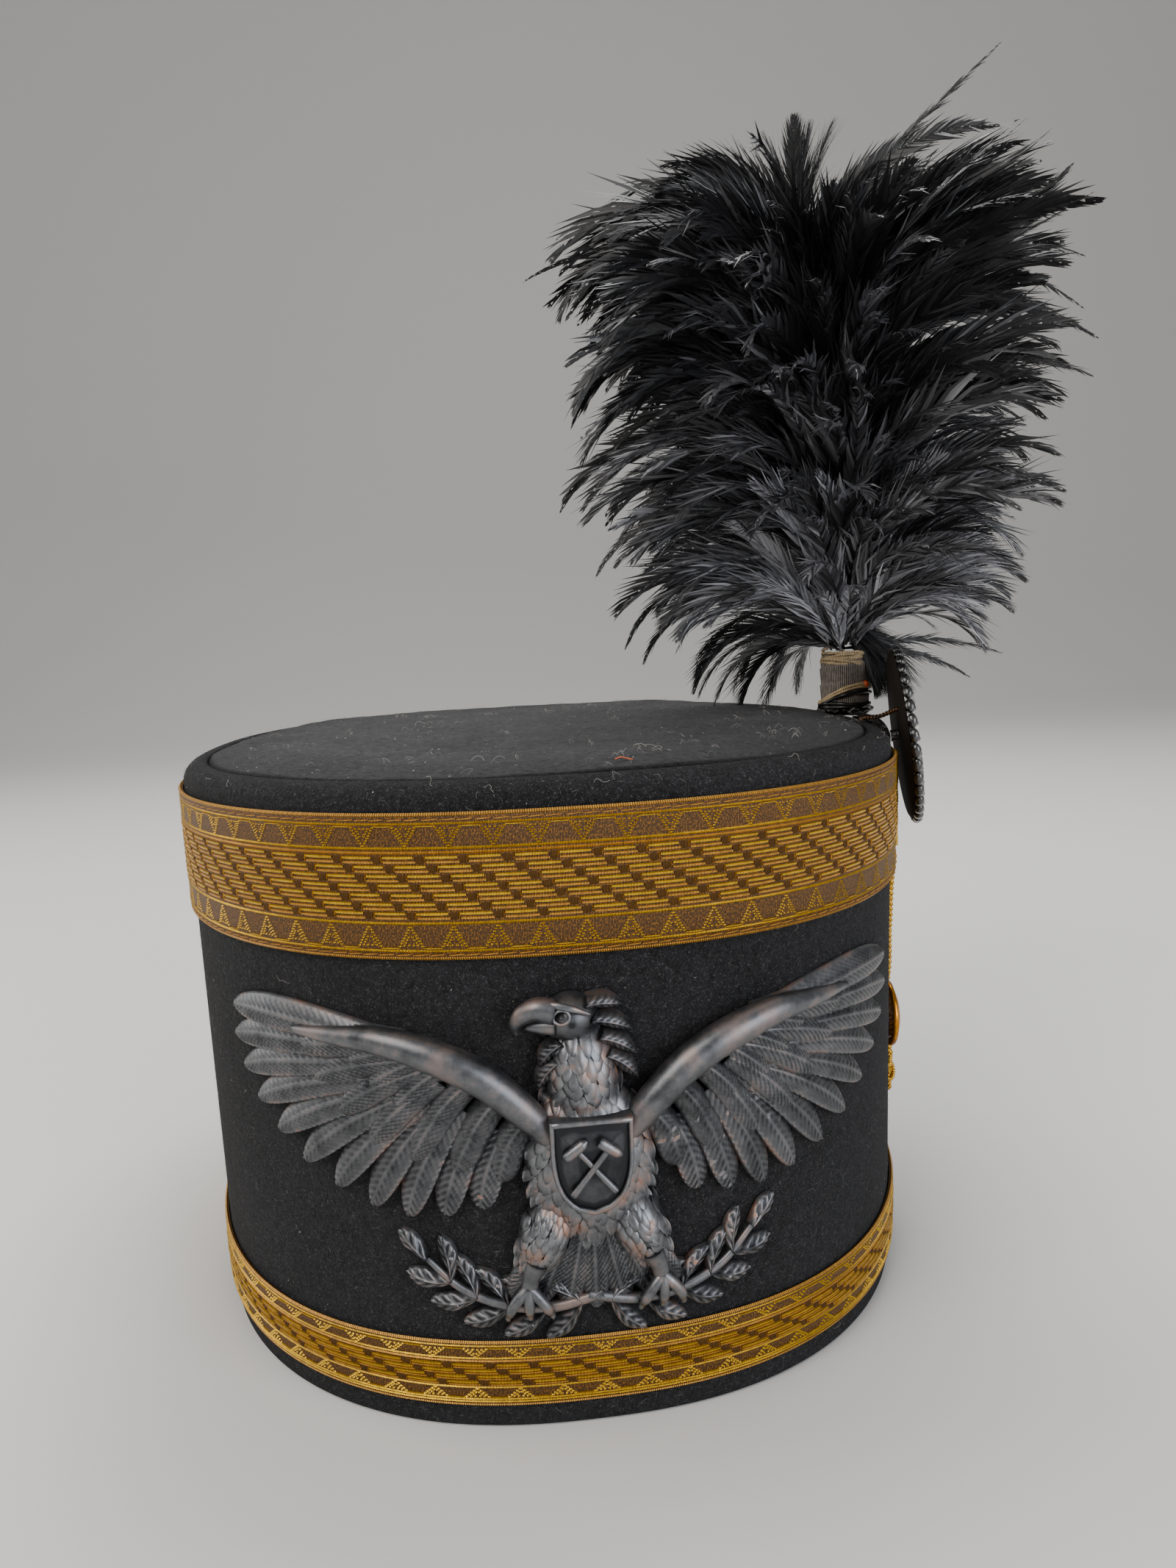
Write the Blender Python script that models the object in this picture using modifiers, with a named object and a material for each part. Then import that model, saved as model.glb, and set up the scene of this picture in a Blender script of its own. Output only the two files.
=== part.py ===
"""A miner's parade shako: an oval black felt body with a flat felt crown, two bands
of gold lace, a cast relief plate on the front, and a rosette, a gold cord with a
button, and a plume of cock feathers on the wearer's left.

Metres, +Z up. The front faces -Y and the wearer's left is +X. The shako rests on
its lower edge at z = 0, and the origin is the bottom centre of the whole thing.
"""

import math

import bmesh
import bpy
import numpy as np
from mathutils import Matrix, Vector

MM = 0.001

# The oval body: a superellipse in plan, a little narrower at the bottom.
HALF_WIDTH = 0.090
HALF_LENGTH = 0.104
OVAL_POWER = 2.35
TAPER = 0.012  # what each half axis loses for every metre below the rim
HAT_HEIGHT = 0.132
FELT = 0.003
RIM_ROUND = 0.0044
ROUND_SEGMENTS = 64
ARC_STEPS = 720

# The middle of the oval, seen from the bottom centre of the whole thing.
OVAL_CENTRE = (-0.0312, 0.0038, 0.0)

# The rim's turned-in edge, and the crown piece that is sewn into it.
SEAM_INSET = 0.0058
LEDGE_INSET = 0.011
LEDGE_TOP = HAT_HEIGHT - 0.0034
GAP = 0.0003
CROWN_RISE = 0.0010
CROWN_PUCKER = 0.0005

# Gold lace: bands that stand on the felt.
LACE = 0.0012
UPPER_LACE = (0.0985, 0.1267)
LOWER_LACE = (0.0056, 0.0198)
LACE_FACE = GAP + LACE

# The relief plate on the front, in millimetres along the wall, up, and outwards.
PLATE_BACK = 0.45
PLATE_FOLD = 8.0  # widest flat stretch of the plate's back, so that it follows the wall
BREAST = (0.0, 58.0)
BREAST_HALF = (12.5, 17.0)
BREAST_RISE = 7.0
SHIELD_HALF = (7.6, 9.6)
SHIELD_RISE = 8.4

# The fittings on the wearer's left hang on one line down the wall.
SIDE_LINE_Y = -0.024
TAB_WIDTH = 0.009
TAB = 0.0014
TAB_BACK = LACE_FACE + 0.0004
BRAID_WIDTH = 0.0086
BRAID = 0.0022
BRAID_SPAN = (0.0985, 0.1240)
CORD_RADIUS = 0.00115
CORD_SPREAD = 0.00135
KNOT_HEIGHT = 0.0345
BUTTON_RADIUS = 0.00905
BUTTON_HEIGHT = 0.051
BUTTON_BACK = 0.0031
BUTTON_RISE = 0.0034
ROSETTE_RADIUS = 0.0240
ROSETTE_HEIGHT = 0.1278
ROSETTE_STAND = 0.0079
ROSETTE_TURN = math.radians(-16.5)
ROSETTE_TILT = math.radians(6.4)
TIE_RADIUS = 0.0007

# The plume: a bound stem on the rim, a bushy head, and locks that arch out of it.
STEM_PLACE = (0.0895, 0.0015)
STEM_RADIUS = 0.0070
STEM_SPAN = (HAT_HEIGHT + 0.0011, 0.1495)
SOCKET_X = HALF_WIDTH + LACE_FACE + GAP + 0.0034
SOCKET_SPAN = (0.0965, 0.1310)
SOCKET_RADII = (0.0021, 0.0034)
PIN_RADIUS = 0.0018
PLUME_LEAN = Vector((-0.946, 0.324, 0.0)) * 0.009  # what the axis leans by at LEAN_HEIGHT
LEAN_HEIGHT = 0.090
PLUME_RIGHT = math.atan2(-0.324, 0.946)  # the turn of the plume's right side about its axis
HEAD_PROFILE = (  # height above the stem and radius of the bushy head
    (0.0004, 0.0052),
    (0.0100, 0.0120),
    (0.0260, 0.0230),
    (0.0500, 0.0330),
    (0.0750, 0.0390),
    (0.0950, 0.0390),
    (0.1120, 0.0290),
    (0.1220, 0.0170),
    (0.1280, 0.0060),
)
LOCK_TIERS = (  # root height, locks, right length and end angle, left ones, start angle, width
    (0.004, 6, 0.047, 134.0, 0.064, 150.0, 40.0, 0.0120),
    (0.015, 7, 0.058, 130.0, 0.077, 148.0, 30.0, 0.0135),
    (0.032, 8, 0.074, 124.0, 0.094, 146.0, 21.0, 0.0150),
    (0.051, 9, 0.0854, 116.0, 0.098, 146.0, 17.0, 0.0150),
    (0.070, 8, 0.089, 104.0, 0.096, 146.0, 16.0, 0.0150),
    (0.085, 7, 0.084, 92.0, 0.088, 142.0, 17.0, 0.0150),
    (0.098, 5, 0.056, 84.0, 0.064, 122.0, 15.0, 0.0140),
)
STRAY_LOCKS = (  # turn from the right side, root height, length, start and end angle, width
    (0.0, 0.110, 0.068, 48.0, 52.0, 0.0060),
    (4.0, 0.086, 0.079, 78.0, 40.0, 0.0070),
    (180.0, 0.080, 0.097, 30.0, 116.0, 0.0060),
)
STEEPER = 30.0  # by how many degrees less the lowest locks to the front and back bend
LOCK_STEPS = 50
LOCK_RINGS = (15, 30, 41, 50)  # the steps along a lock that have a ring of points

# Finishes: base colour, metallic, roughness.
FINISHES = {
    "felt": ((0.012, 0.012, 0.013), 0.0, 0.95),
    "gold_lace": ((0.56, 0.34, 0.05), 0.8, 0.45),
    "dark_pewter": ((0.085, 0.088, 0.095), 0.9, 0.42),
    "gilt_brass": ((0.50, 0.24, 0.04), 1.0, 0.30),
    "black_leather": ((0.012, 0.011, 0.010), 0.0, 0.35),
    "iron_wire": ((0.09, 0.07, 0.05), 0.7, 0.55),
    "cloth_tape": ((0.060, 0.050, 0.045), 0.0, 0.85),
    "cock_feather": ((0.008, 0.008, 0.009), 0.0, 0.50),
}


# ---------------------------------------------------------------- scene helpers


def clear_scene():
    """Removes whatever the file opened with."""
    for old in list(bpy.data.objects):
        bpy.data.objects.remove(old, do_unlink=True)


def new_collection(name, hidden=False):
    """Adds a collection to the scene."""
    made = bpy.data.collections.new(name)
    bpy.context.scene.collection.children.link(made)
    made.hide_render = hidden
    return made


def finish(name):
    """The Principled material of this name, made on first use."""
    if name in bpy.data.materials:
        return bpy.data.materials[name]
    colour, metallic, roughness = FINISHES[name]
    material = bpy.data.materials.new(name)
    material.use_nodes = True
    shader = material.node_tree.nodes["Principled BSDF"]
    shader.inputs["Base Color"].default_value = (*colour, 1.0)
    shader.inputs["Metallic"].default_value = metallic
    shader.inputs["Roughness"].default_value = roughness
    return material


def add_object(name, data, finish_name, hat, collection):
    """Puts mesh or curve data into the scene as one piece of the shako."""
    piece = bpy.data.objects.new(name, data)
    data.materials.append(finish(finish_name))
    collection.objects.link(piece)
    piece.parent = hat
    return piece


def add_operand(name, mesh, hat, operands):
    """A hidden shape that a Boolean joins to a piece."""
    shape = bpy.data.objects.new(name, mesh)
    operands.objects.link(shape)
    shape.parent = hat
    shape.hide_render = True
    shape.display_type = "WIRE"
    return shape


def loft_mesh(name, rings, closed=False):
    """A closed mesh through rings of points, an array of shape (rings, points, 3).

    Closed joins the last ring to the first. Otherwise a face closes each end.
    """
    count, around = rings.shape[:2]
    faces = []
    for ring in range(count if closed else count - 1):
        low = ring * around
        high = (ring + 1) % count * around
        for side in range(around):
            after = (side + 1) % around
            faces.append((low + side, low + after, high + after, high + side))
    if not closed:
        faces.append(tuple(range(around)))
        faces.append(tuple(range((count - 1) * around, count * around)))
    mesh = bpy.data.meshes.new(name)
    mesh.from_pydata(rings.reshape(-1, 3).tolist(), [], faces)
    shape = bmesh.new()
    shape.from_mesh(mesh)
    bmesh.ops.recalc_face_normals(shape, faces=shape.faces)
    shape.to_mesh(mesh)
    shape.free()
    return mesh


def shade(mesh, angle=40.0):
    """Shades a mesh smooth except across its sharp edges."""
    mesh.shade_smooth()
    mesh.set_sharp_from_angle(angle=math.radians(angle))


def turned_mesh(name, profile):
    """An edge chain of (radius, height) points, top to bottom on the outer side."""
    mesh = bpy.data.meshes.new(name)
    points = [(radius, 0.0, height) for radius, height in profile]
    mesh.from_pydata(points, [(i, i + 1) for i in range(len(points) - 1)], [])
    return mesh


def turn(piece, steps):
    """Turns a profile about its own Z axis."""
    screw = piece.modifiers.new("turned", "SCREW")
    screw.steps = steps
    screw.render_steps = steps
    screw.use_merge_vertices = True
    screw.merge_threshold = 0.00001
    screw.use_smooth_shade = True


def join_collection(piece, operands):
    """Fuses the shapes of a collection to a piece."""
    union = piece.modifiers.new("fused", "BOOLEAN")
    union.operation = "UNION"
    union.solver = "EXACT"
    union.operand_type = "COLLECTION"
    union.collection = operands


# ---------------------------------------------------------------- the oval wall


def oval_points(turns, height, outwards):
    """Points of the oval at these turns, heights and distances outside the felt."""
    turns, height, outwards = np.broadcast_arrays(turns, height, outwards)
    half_x = HALF_WIDTH - TAPER * (HAT_HEIGHT - height)
    half_y = HALF_LENGTH - TAPER * (HAT_HEIGHT - height)
    across, along = np.cos(turns), np.sin(turns)
    x = half_x * np.sign(across) * np.abs(across) ** (2 / OVAL_POWER)
    y = half_y * np.sign(along) * np.abs(along) ** (2 / OVAL_POWER)
    out_x = np.sign(x) * np.abs(x / half_x) ** (OVAL_POWER - 1) / half_x
    out_y = np.sign(y) * np.abs(y / half_y) ** (OVAL_POWER - 1) / half_y
    size = np.hypot(out_x, out_y)
    return np.stack([x + out_x / size * outwards, y + out_y / size * outwards, height], -1)


def arc_table():
    """Turns all round from the front, and the arc length reached at each."""
    turns = np.linspace(-1.5 * math.pi, 0.5 * math.pi, ARC_STEPS + 1)
    points = oval_points(turns, HAT_HEIGHT / 2, 0.0)
    steps = np.linalg.norm(np.diff(points, axis=0), axis=1)
    length = np.concatenate([[0.0], np.cumsum(steps)])
    return turns, length - np.interp(-0.5 * math.pi, turns, length)


ARC_TURNS, ARC_LENGTHS = arc_table()


def even_turns(count):
    """Turns that share the way round the oval evenly."""
    lengths = np.linspace(ARC_LENGTHS[0], ARC_LENGTHS[-1], count, endpoint=False)
    return np.interp(lengths, ARC_LENGTHS, ARC_TURNS)


def on_wall(flat):
    """Bends points from (along the wall, up, outwards) in millimetres onto the wall."""
    flat = np.asarray(flat, float) * MM
    turns = np.interp(flat[..., 0], ARC_LENGTHS, ARC_TURNS)
    return oval_points(turns, flat[..., 1], flat[..., 2])


def sweep_round(name, profile):
    """Carries a closed profile of (outwards, height) points round the oval."""
    outwards, heights = np.array(profile).T
    rings = oval_points(even_turns(ROUND_SEGMENTS)[:, None], heights, outwards)
    return loft_mesh(name, rings, closed=True)


# ---------------------------------------------------------------- body and lace


def body_profile():
    """The felt wall in section: rounded rim, ledge under the crown, open foot."""
    arc = [
        (-RIM_ROUND * (1 - math.cos(a)), HAT_HEIGHT - RIM_ROUND * (1 - math.sin(a)))
        for a in np.linspace(0.0, math.pi / 2, 4)
    ]
    ledge_foot = LEDGE_TOP - FELT
    return [
        (0.0, 0.0),
        *arc,
        (-SEAM_INSET, HAT_HEIGHT - 0.0008),
        (-SEAM_INSET, LEDGE_TOP),
        (-LEDGE_INSET, LEDGE_TOP),
        (-LEDGE_INSET, ledge_foot),
        (-FELT, ledge_foot - 0.002),
        (-FELT, 0.0),
    ]


def make_body(hat, pieces):
    """The hollow felt wall, open at the bottom for the head."""
    mesh = sweep_round("felt_body", body_profile())
    shade(mesh)
    add_object("felt_body", mesh, "felt", hat, pieces)


def make_crown(hat, pieces):
    """The crown piece: a felt disc in the rim's seam, slightly domed and puckered."""
    foot = LEDGE_TOP + GAP
    edge = HAT_HEIGHT + 0.0002
    rows = (  # share of the way out, height
        (0.12, foot),
        (1.00, foot),
        (1.00, edge - 0.0010),
        (0.98, edge),
        (0.90, edge + 0.25 * CROWN_RISE),
        (0.60, edge + 0.8 * CROWN_RISE),
        (0.12, edge + CROWN_RISE),
    )
    turns = even_turns(ROUND_SEGMENTS)
    outline = oval_points(turns, HAT_HEIGHT, -(SEAM_INSET + GAP))
    rings = []
    for share, height in rows:
        ring = outline * (share, share, 0.0)
        pucker = np.cos(5 * turns + 0.6) + 0.6 * np.sin(8 * turns)
        lift = CROWN_PUCKER * share**3 * pucker if height > edge else 0.0
        ring[:, 2] = height + lift
        rings.append(ring)
    mesh = loft_mesh("crown_top", np.array(rings))
    shade(mesh)
    add_object("crown_top", mesh, "felt", hat, pieces)


def make_lace(name, span, hat, pieces):
    """A band of lace that stands on the felt."""
    low, high = span
    profile = ((GAP, low), (LACE_FACE, low), (LACE_FACE, high), (GAP, high))
    mesh = sweep_round(name, profile)
    shade(mesh)
    add_object(name, mesh, "gold_lace", hat, pieces)


# ---------------------------------------------------------------- the front plate


def blade(root, tip, half_width, rise, bow=0.0, stations=5):
    """A feather, leaf or bar in relief, in flat millimetres: pointed-round in plan,
    roof-shaped in section, and bowed sideways by bow times its length."""
    root, tip = np.array(root, float), np.array(tip, float)
    along = tip - root
    length = np.linalg.norm(along)
    side = np.array([-along[1], along[0]]) / length
    share = np.linspace(0.0, 1.0, stations)[:, None]
    middle = root + along * share + side * bow * length * 4 * share * (1 - share)
    width = half_width * (0.62 + 0.38 * np.sin(math.pi * share**0.8)) * (1 - 0.72 * share**5)
    height = rise * (1 - 0.35 * share)
    left = np.hstack([middle - side * width, 0.0 * height])
    ridge = np.hstack([middle, height])
    right = np.hstack([middle + side * width, 0.0 * height])
    return np.stack([left, ridge, right], axis=1)


def mirrored(rings):
    """The same shape on the other side of the plate."""
    return rings * (-1.0, 1.0, 1.0)


def mound(centre, half, rise, lean=0.0, around=12, rows=4):
    """A domed oval in relief, in flat millimetres, leaning by an angle in its plane."""
    turns = np.linspace(0.0, 2 * math.pi, around, endpoint=False)
    rings = []
    for level in np.linspace(0.0, 0.93, rows):
        share = math.sqrt(1 - level**2)
        x = half[0] * share * np.cos(turns)
        y = half[1] * share * np.sin(turns)
        spot_x = centre[0] + x * math.cos(lean) - y * math.sin(lean)
        spot_y = centre[1] + x * math.sin(lean) + y * math.cos(lean)
        rings.append(np.stack([spot_x, spot_y, np.full(around, rise * level)], -1))
    return np.array(rings)


def slab(outline, rise):
    """A flat outline in millimetres, raised from the plate's back."""
    outline = np.array(outline, float)
    return np.array([np.column_stack([outline, np.full(len(outline), h)]) for h in (0.0, rise)])


def wing_shapes():
    """One wing, on the +X side: arm, long flight feathers, short ones and coverts."""
    shapes = [
        blade((8, 65), (25, 80), 3.6, 5.0, bow=0.10),
        blade((20, 77), (44, 82), 3.6, 5.2, bow=0.10),
    ]
    flights = (  # root and tip of each long feather, from the top of the wing down
        ((38, 82), (79, 84.5)),
        ((37, 80), (79.5, 78)),
        ((36, 78), (77, 71.5)),
        ((35, 76), (72.5, 65.5)),
        ((34, 74), (66.5, 60)),
        ((32, 73), (59.5, 55)),
        ((30, 72), (51.5, 51)),
        ((27, 71), (43.5, 48)),
        ((24, 70), (36, 46.5)),
        ((20, 68), (28.5, 47)),
        ((16, 65), (21.5, 48.5)),
    )
    for i, (root, tip) in enumerate(flights):
        shapes.append(blade(root, tip, 3.7, 2.7 + 0.08 * i, 0.05, 4))
    coverts = (  # root and tip of the short feathers that lie over the long ones
        ((34, 82), (56, 79)),
        ((32, 80), (53, 73)),
        ((30, 78), (48, 67)),
        ((27, 76), (41.5, 61)),
        ((23, 74), (33.5, 58)),
        ((18, 70), (25, 56)),
        ((13, 66), (17, 54)),
    )
    for i, (root, tip) in enumerate(coverts):
        shapes.append(blade(root, tip, 3.8, 4.4 + 0.06 * i, 0.05, 3))
    return shapes


def spray_shapes():
    """One laurel spray, on the +X side: a stem and pairs of leaves."""
    stem = np.array([(0, 29), (9, 27.5), (18, 28.5), (26, 32), (32, 37.5)])
    shapes = []
    for low, high in zip(stem[:-1], stem[1:]):
        along = (high - low) / np.linalg.norm(high - low)
        side = np.array([-along[1], along[0]])
        shapes.append(blade(low - along, high + along, 1.3, 2.1, 0.0, 2))
        for hand in (-1, 1):
            tip = high + along * 4.5 + side * hand * 6.0
            shapes.append(blade(low + along * 2, tip, 2.0, 2.6, 0.06 * hand, 3))
    shapes.append(blade(stem[-1], stem[-1] + (4.5, 6.0), 2.0, 2.4, 0.0, 3))
    return shapes


def shield_outline():
    """A heater shield: straight top, sides that curve to a point."""
    half_x, half_y = SHIELD_HALF
    falls = np.linspace(0.0, 1.0, 6)
    side = [(half_x * math.sqrt(1 - f**2.6), half_y * (0.45 - 1.45 * f)) for f in falls]
    outline = [(half_x, half_y), *side]
    outline += [(-x, y) for x, y in reversed(outline[:-1])]
    return [(BREAST[0] + x, BREAST[1] + 1.0 + y) for x, y in outline]


def hammer_shapes():
    """Two crossed hammers in low relief on the shield."""
    centre = np.array([BREAST[0], BREAST[1] + 1.6])
    shapes = []
    for hand in (-1, 1):
        lean = math.radians(38.0) * hand
        along = np.array([math.sin(lean), math.cos(lean)])
        side = np.array([along[1], -along[0]])
        for middle, half_long, half_wide, lift in ((0.0, 6.4, 0.65, 0.6), (5.0, 1.15, 2.5, 0.9)):
            spot = centre + along * middle
            corners = [
                spot + along * half_long * a + side * half_wide * b
                for a, b in ((-1, -1), (-1, 1), (1, 1), (1, -1))
            ]
            shapes.append(slab(corners, SHIELD_RISE + lift + 0.06 * hand))
    return shapes


def bird_shapes():
    """Neck, head with a closed beak turned to -X, thighs, claws and tail."""
    shapes = [
        mound((-0.8, 75), (7.2, 11.0), 6.4, 0.10),
        mound((-2.6, 86.6), (5.6, 5.0), 6.2, 0.15, 10),
        blade((-5.5, 88.2), (-12.6, 84.6), 2.1, 4.8, bow=-0.14, stations=4),
    ]
    for tip in ((6.6, 87.5), (8.6, 82.5), (9.6, 77.0)):
        shapes.append(blade((0.5, tip[1] - 1), tip, 1.9, 5.2, 0.08, 3))
    for i, x in enumerate((-15, -10, -5, 0, 5, 10, 15)):
        foot = 31.0 - 3.0 * math.cos(x / 15 * math.pi / 2)
        shapes.append(blade((x * 0.25, 47), (x, foot), 3.2, 3.6 + 0.05 * i, 0.0, 3))
    for hand in (-1, 1):
        shapes.append(mound((hand * 9.0, 43), (5.4, 8.2), 6.0 + 0.05 * hand, hand * 0.35, 10))
        for spread in (-4.2, 0.0, 4.2):
            foot = (hand * 14.5 + spread, 26.5 + 0.2 * abs(spread))
            root = (hand * 12.0 + spread * 0.3, 37.0)
            shapes.append(blade(root, foot, 1.5, 4.8, 0.0, 3))
    return shapes


def fused_flat(shapes, operands):
    """One mesh of all these shapes, still flat, in millimetres."""
    made = []
    for i, rings in enumerate(shapes):
        shape = bpy.data.objects.new(f"plate_shape_{i:02d}", loft_mesh("shape", rings * MM))
        made.append(shape)
    first = made[0]
    bpy.context.scene.collection.objects.link(first)
    for shape in made[1:]:
        operands.objects.link(shape)
    join_collection(first, operands)
    graph = bpy.context.evaluated_depsgraph_get()
    mesh = bpy.data.meshes.new_from_object(first.evaluated_get(graph))
    for shape in made:
        bpy.data.objects.remove(shape, do_unlink=True)
    return mesh


def bend_to_wall(mesh):
    """Folds a flat mesh into narrow upright strips and lays it on the wall."""
    shape = bmesh.new()
    shape.from_mesh(mesh)
    bmesh.ops.dissolve_limit(
        shape, angle_limit=math.radians(0.2), verts=shape.verts, edges=shape.edges
    )
    reach = max(abs(vert.co.x) for vert in shape.verts)
    folds = int(reach / (PLATE_FOLD * MM))
    for fold in range(-folds, folds + 1):
        everything = shape.verts[:] + shape.edges[:] + shape.faces[:]
        bmesh.ops.bisect_plane(
            shape, geom=everything, dist=1e-6, plane_co=(fold * PLATE_FOLD * MM, 0, 0), plane_no=(1, 0, 0)
        )
    bmesh.ops.triangulate(shape, faces=shape.faces)
    bmesh.ops.remove_doubles(shape, verts=shape.verts, dist=0.00001)
    for vert in shape.verts:
        flat = np.array(vert.co) / MM
        vert.co = Vector(on_wall(flat + (0.0, 0.0, PLATE_BACK)))
    shape.to_mesh(mesh)
    shape.free()


def make_plate(hat, pieces, operands):
    """The cast front plate: a spread eagle with a shield on its breast, on laurel."""
    half = wing_shapes() + spray_shapes()
    shapes = [mound(BREAST, BREAST_HALF, BREAST_RISE, 0.0, 14), slab(shield_outline(), SHIELD_RISE)]
    shapes += half + [mirrored(rings) for rings in half] + bird_shapes() + hammer_shapes()
    mesh = fused_flat(shapes, operands)
    bend_to_wall(mesh)
    mesh.name = "front_plate"
    add_object("front_plate", mesh, "dark_pewter", hat, pieces)


# ---------------------------------------------------------------- fittings on the left


def side_frame():
    """Where the line of fittings crosses the rim's height, and the way out of the wall."""
    turns = np.linspace(-0.5, 0.0, 2000)
    spots = oval_points(turns, HAT_HEIGHT, 0.0)
    best = int(np.argmin(np.abs(spots[:, 1] - SIDE_LINE_Y)))
    outer = oval_points(turns[best], HAT_HEIGHT, 1.0)
    place = Vector(spots[best])
    outwards = Vector(outer) - place
    backwards = Vector((0.0, 0.0, 1.0)).cross(outwards)
    return Vector((place.x, place.y, 0.0)), outwards, backwards


SIDE_PLACE, SIDE_OUT, SIDE_BACK = side_frame()


def at_side(outwards, height, backwards=0.0):
    """A point by its distance out of the wall, height, and place along the wall."""
    inwards = TAPER * (HAT_HEIGHT - height)
    spot = SIDE_PLACE + SIDE_OUT * (outwards - inwards) + SIDE_BACK * backwards
    return Vector((spot.x, spot.y, height))


def strip_mesh(name, path, half_width, thickness, edge):
    """A flat strip on the side line: path holds (outwards, height) of its back face."""
    path = np.array(path)
    way = np.gradient(path, axis=0)
    way /= np.linalg.norm(way, axis=1)[:, None]
    off = np.column_stack([way[:, 1], -way[:, 0]])
    section = (
        (-1.0, 0.0, 0.0),
        (-1.0, 0.0, 1.0),
        (-1.0, edge, 1.0),
        (1.0, -edge, 1.0),
        (1.0, 0.0, 1.0),
        (1.0, 0.0, 0.0),
    )
    rings = []
    for spot, out in zip(path, off):
        ring = []
        for hand, shift, level in section:
            lift = thickness * (level - 0.35 * (level > 0 and shift == 0.0))
            outwards, height = spot + out * lift
            ring.append(at_side(outwards, height, hand * half_width + shift))
        rings.append(ring)
    return loft_mesh(name, np.array(rings))


def make_tab(hat, pieces):
    """The leather tab: down over the rim and the lace, behind the rosette."""
    straight = [(TAB_BACK, z) for z in np.linspace(0.0972, HAT_HEIGHT - RIM_ROUND, 4)]
    over = []
    for turned in np.radians((16, 32, 48, 64, 80)):
        radius = RIM_ROUND + TAB_BACK - (TAB_BACK - 0.00045) * turned / math.radians(80)
        outwards = radius * math.cos(turned) - RIM_ROUND
        over.append((outwards, HAT_HEIGHT - RIM_ROUND + radius * math.sin(turned)))
    mesh = strip_mesh("cockade_tab", straight + over, TAB_WIDTH / 2, TAB, 0.0006)
    shade(mesh)
    add_object("cockade_tab", mesh, "black_leather", hat, pieces)


def make_braid(hat, pieces):
    """The flat gold braid that covers the tab where it crosses the lace."""
    back = TAB_BACK + TAB + GAP
    low, high = BRAID_SPAN
    path = [(back, z) for z in np.linspace(low, high, 3)]
    mesh = strip_mesh("braid_loop", path, BRAID_WIDTH / 2, BRAID, 0.0012)
    shade(mesh)
    add_object("braid_loop", mesh, "gold_lace", hat, pieces)


def cord_route():
    """The doubled cord: up one side from the knot, round the bend, down the other."""
    knots = (  # height and distance out of the wall of the cord's middle
        (0.0390, 0.0023),
        (0.0420, 0.0016),
        (0.0510, 0.0015),
        (0.0605, 0.0015),
        (0.0760, 0.0025),
        (0.0900, 0.0039),
        (0.0950, 0.0045),
    )
    heights, outwards = np.array(knots).T
    levels = np.linspace(heights[0], heights[-1], 10)
    ways = np.interp(levels, heights, outwards)
    up = [at_side(w, z, -CORD_SPREAD) for w, z in zip(ways, levels)]
    down = [at_side(w, z, CORD_SPREAD) for w, z in zip(ways, levels)]
    bend = []
    for turned in np.linspace(0.0, math.pi, 5)[1:-1]:
        height = heights[-1] + CORD_SPREAD * math.sin(turned)
        bend.append(at_side(outwards[-1], height, -CORD_SPREAD * math.cos(turned)))
    return up + bend + down[::-1]


def tube_curve(name, points, radius, resolution=2):
    """A round bar along these points, with closed ends."""
    curve = bpy.data.curves.new(name, "CURVE")
    curve.dimensions = "3D"
    curve.bevel_depth = radius
    curve.bevel_resolution = resolution
    curve.use_fill_caps = True
    spline = curve.splines.new("POLY")
    spline.points.add(len(points) - 1)
    for point, spot in zip(spline.points, points):
        point.co = (*spot, 1.0)
    return curve


def make_cord(hat, pieces):
    """The gold cord from the braid down to the knot, held behind the button."""
    curve = tube_curve("side_cord", cord_route(), CORD_RADIUS)
    add_object("side_cord", curve, "gold_lace", hat, pieces)


def make_knot(hat, pieces):
    """The knot that ends the cord, a small ball of wound thread."""
    mesh = bpy.data.meshes.new("cord_knot")
    shape = bmesh.new()
    bmesh.ops.create_uvsphere(shape, u_segments=10, v_segments=6, radius=1.0)
    bmesh.ops.scale(shape, vec=(0.0023, 0.0026, 0.0032), verts=shape.verts)
    shape.to_mesh(mesh)
    shape.free()
    shade(mesh, 60.0)
    knot = add_object("cord_knot", mesh, "gold_lace", hat, pieces)
    knot.location = at_side(0.0031, KNOT_HEIGHT)


def face_outwards(piece, place, turned, tilt):
    """Points a piece's Z axis out of the wall, turned in plan and tilted up."""
    lean = Matrix.Rotation(turned, 4, "Z") @ Matrix.Rotation(math.pi / 2 - tilt, 4, "Y")
    piece.matrix_basis = Matrix.Translation(place) @ lean


def make_button(hat, pieces):
    """The domed gilt button that holds the cord to the wall."""
    rim = 0.0007
    dome = [
        (BUTTON_RADIUS * math.sin(a), rim + (BUTTON_RISE - rim) * math.cos(a))
        for a in np.linspace(0.0, math.pi / 2, 5)
    ]
    profile = [*dome, (BUTTON_RADIUS, 0.0), (0.0, 0.0)]
    button = add_object("side_button", turned_mesh("side_button", profile), "gilt_brass", hat, pieces)
    turn(button, 20)
    face_outwards(button, at_side(BUTTON_BACK, BUTTON_HEIGHT), math.atan2(SIDE_OUT.y, SIDE_OUT.x), 0.0)


def rosette_profile():
    """The rosette in section: boss in the middle, pleated ring, bead at the edge, and a
    short shank behind that reaches the tab."""
    return [
        (0.0, 0.0030),
        (0.0045, 0.0026),
        (0.0060, 0.0012),
        (0.0140, 0.0016),
        (0.0220, 0.0010),
        (0.0234, 0.0015),
        (ROSETTE_RADIUS, 0.0004),
        (0.0236, -0.0010),
        (0.0200, -0.0013),
        (0.0016, -0.0013),
        (0.0016, -0.0037),
        (0.0, -0.0037),
    ]


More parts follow.
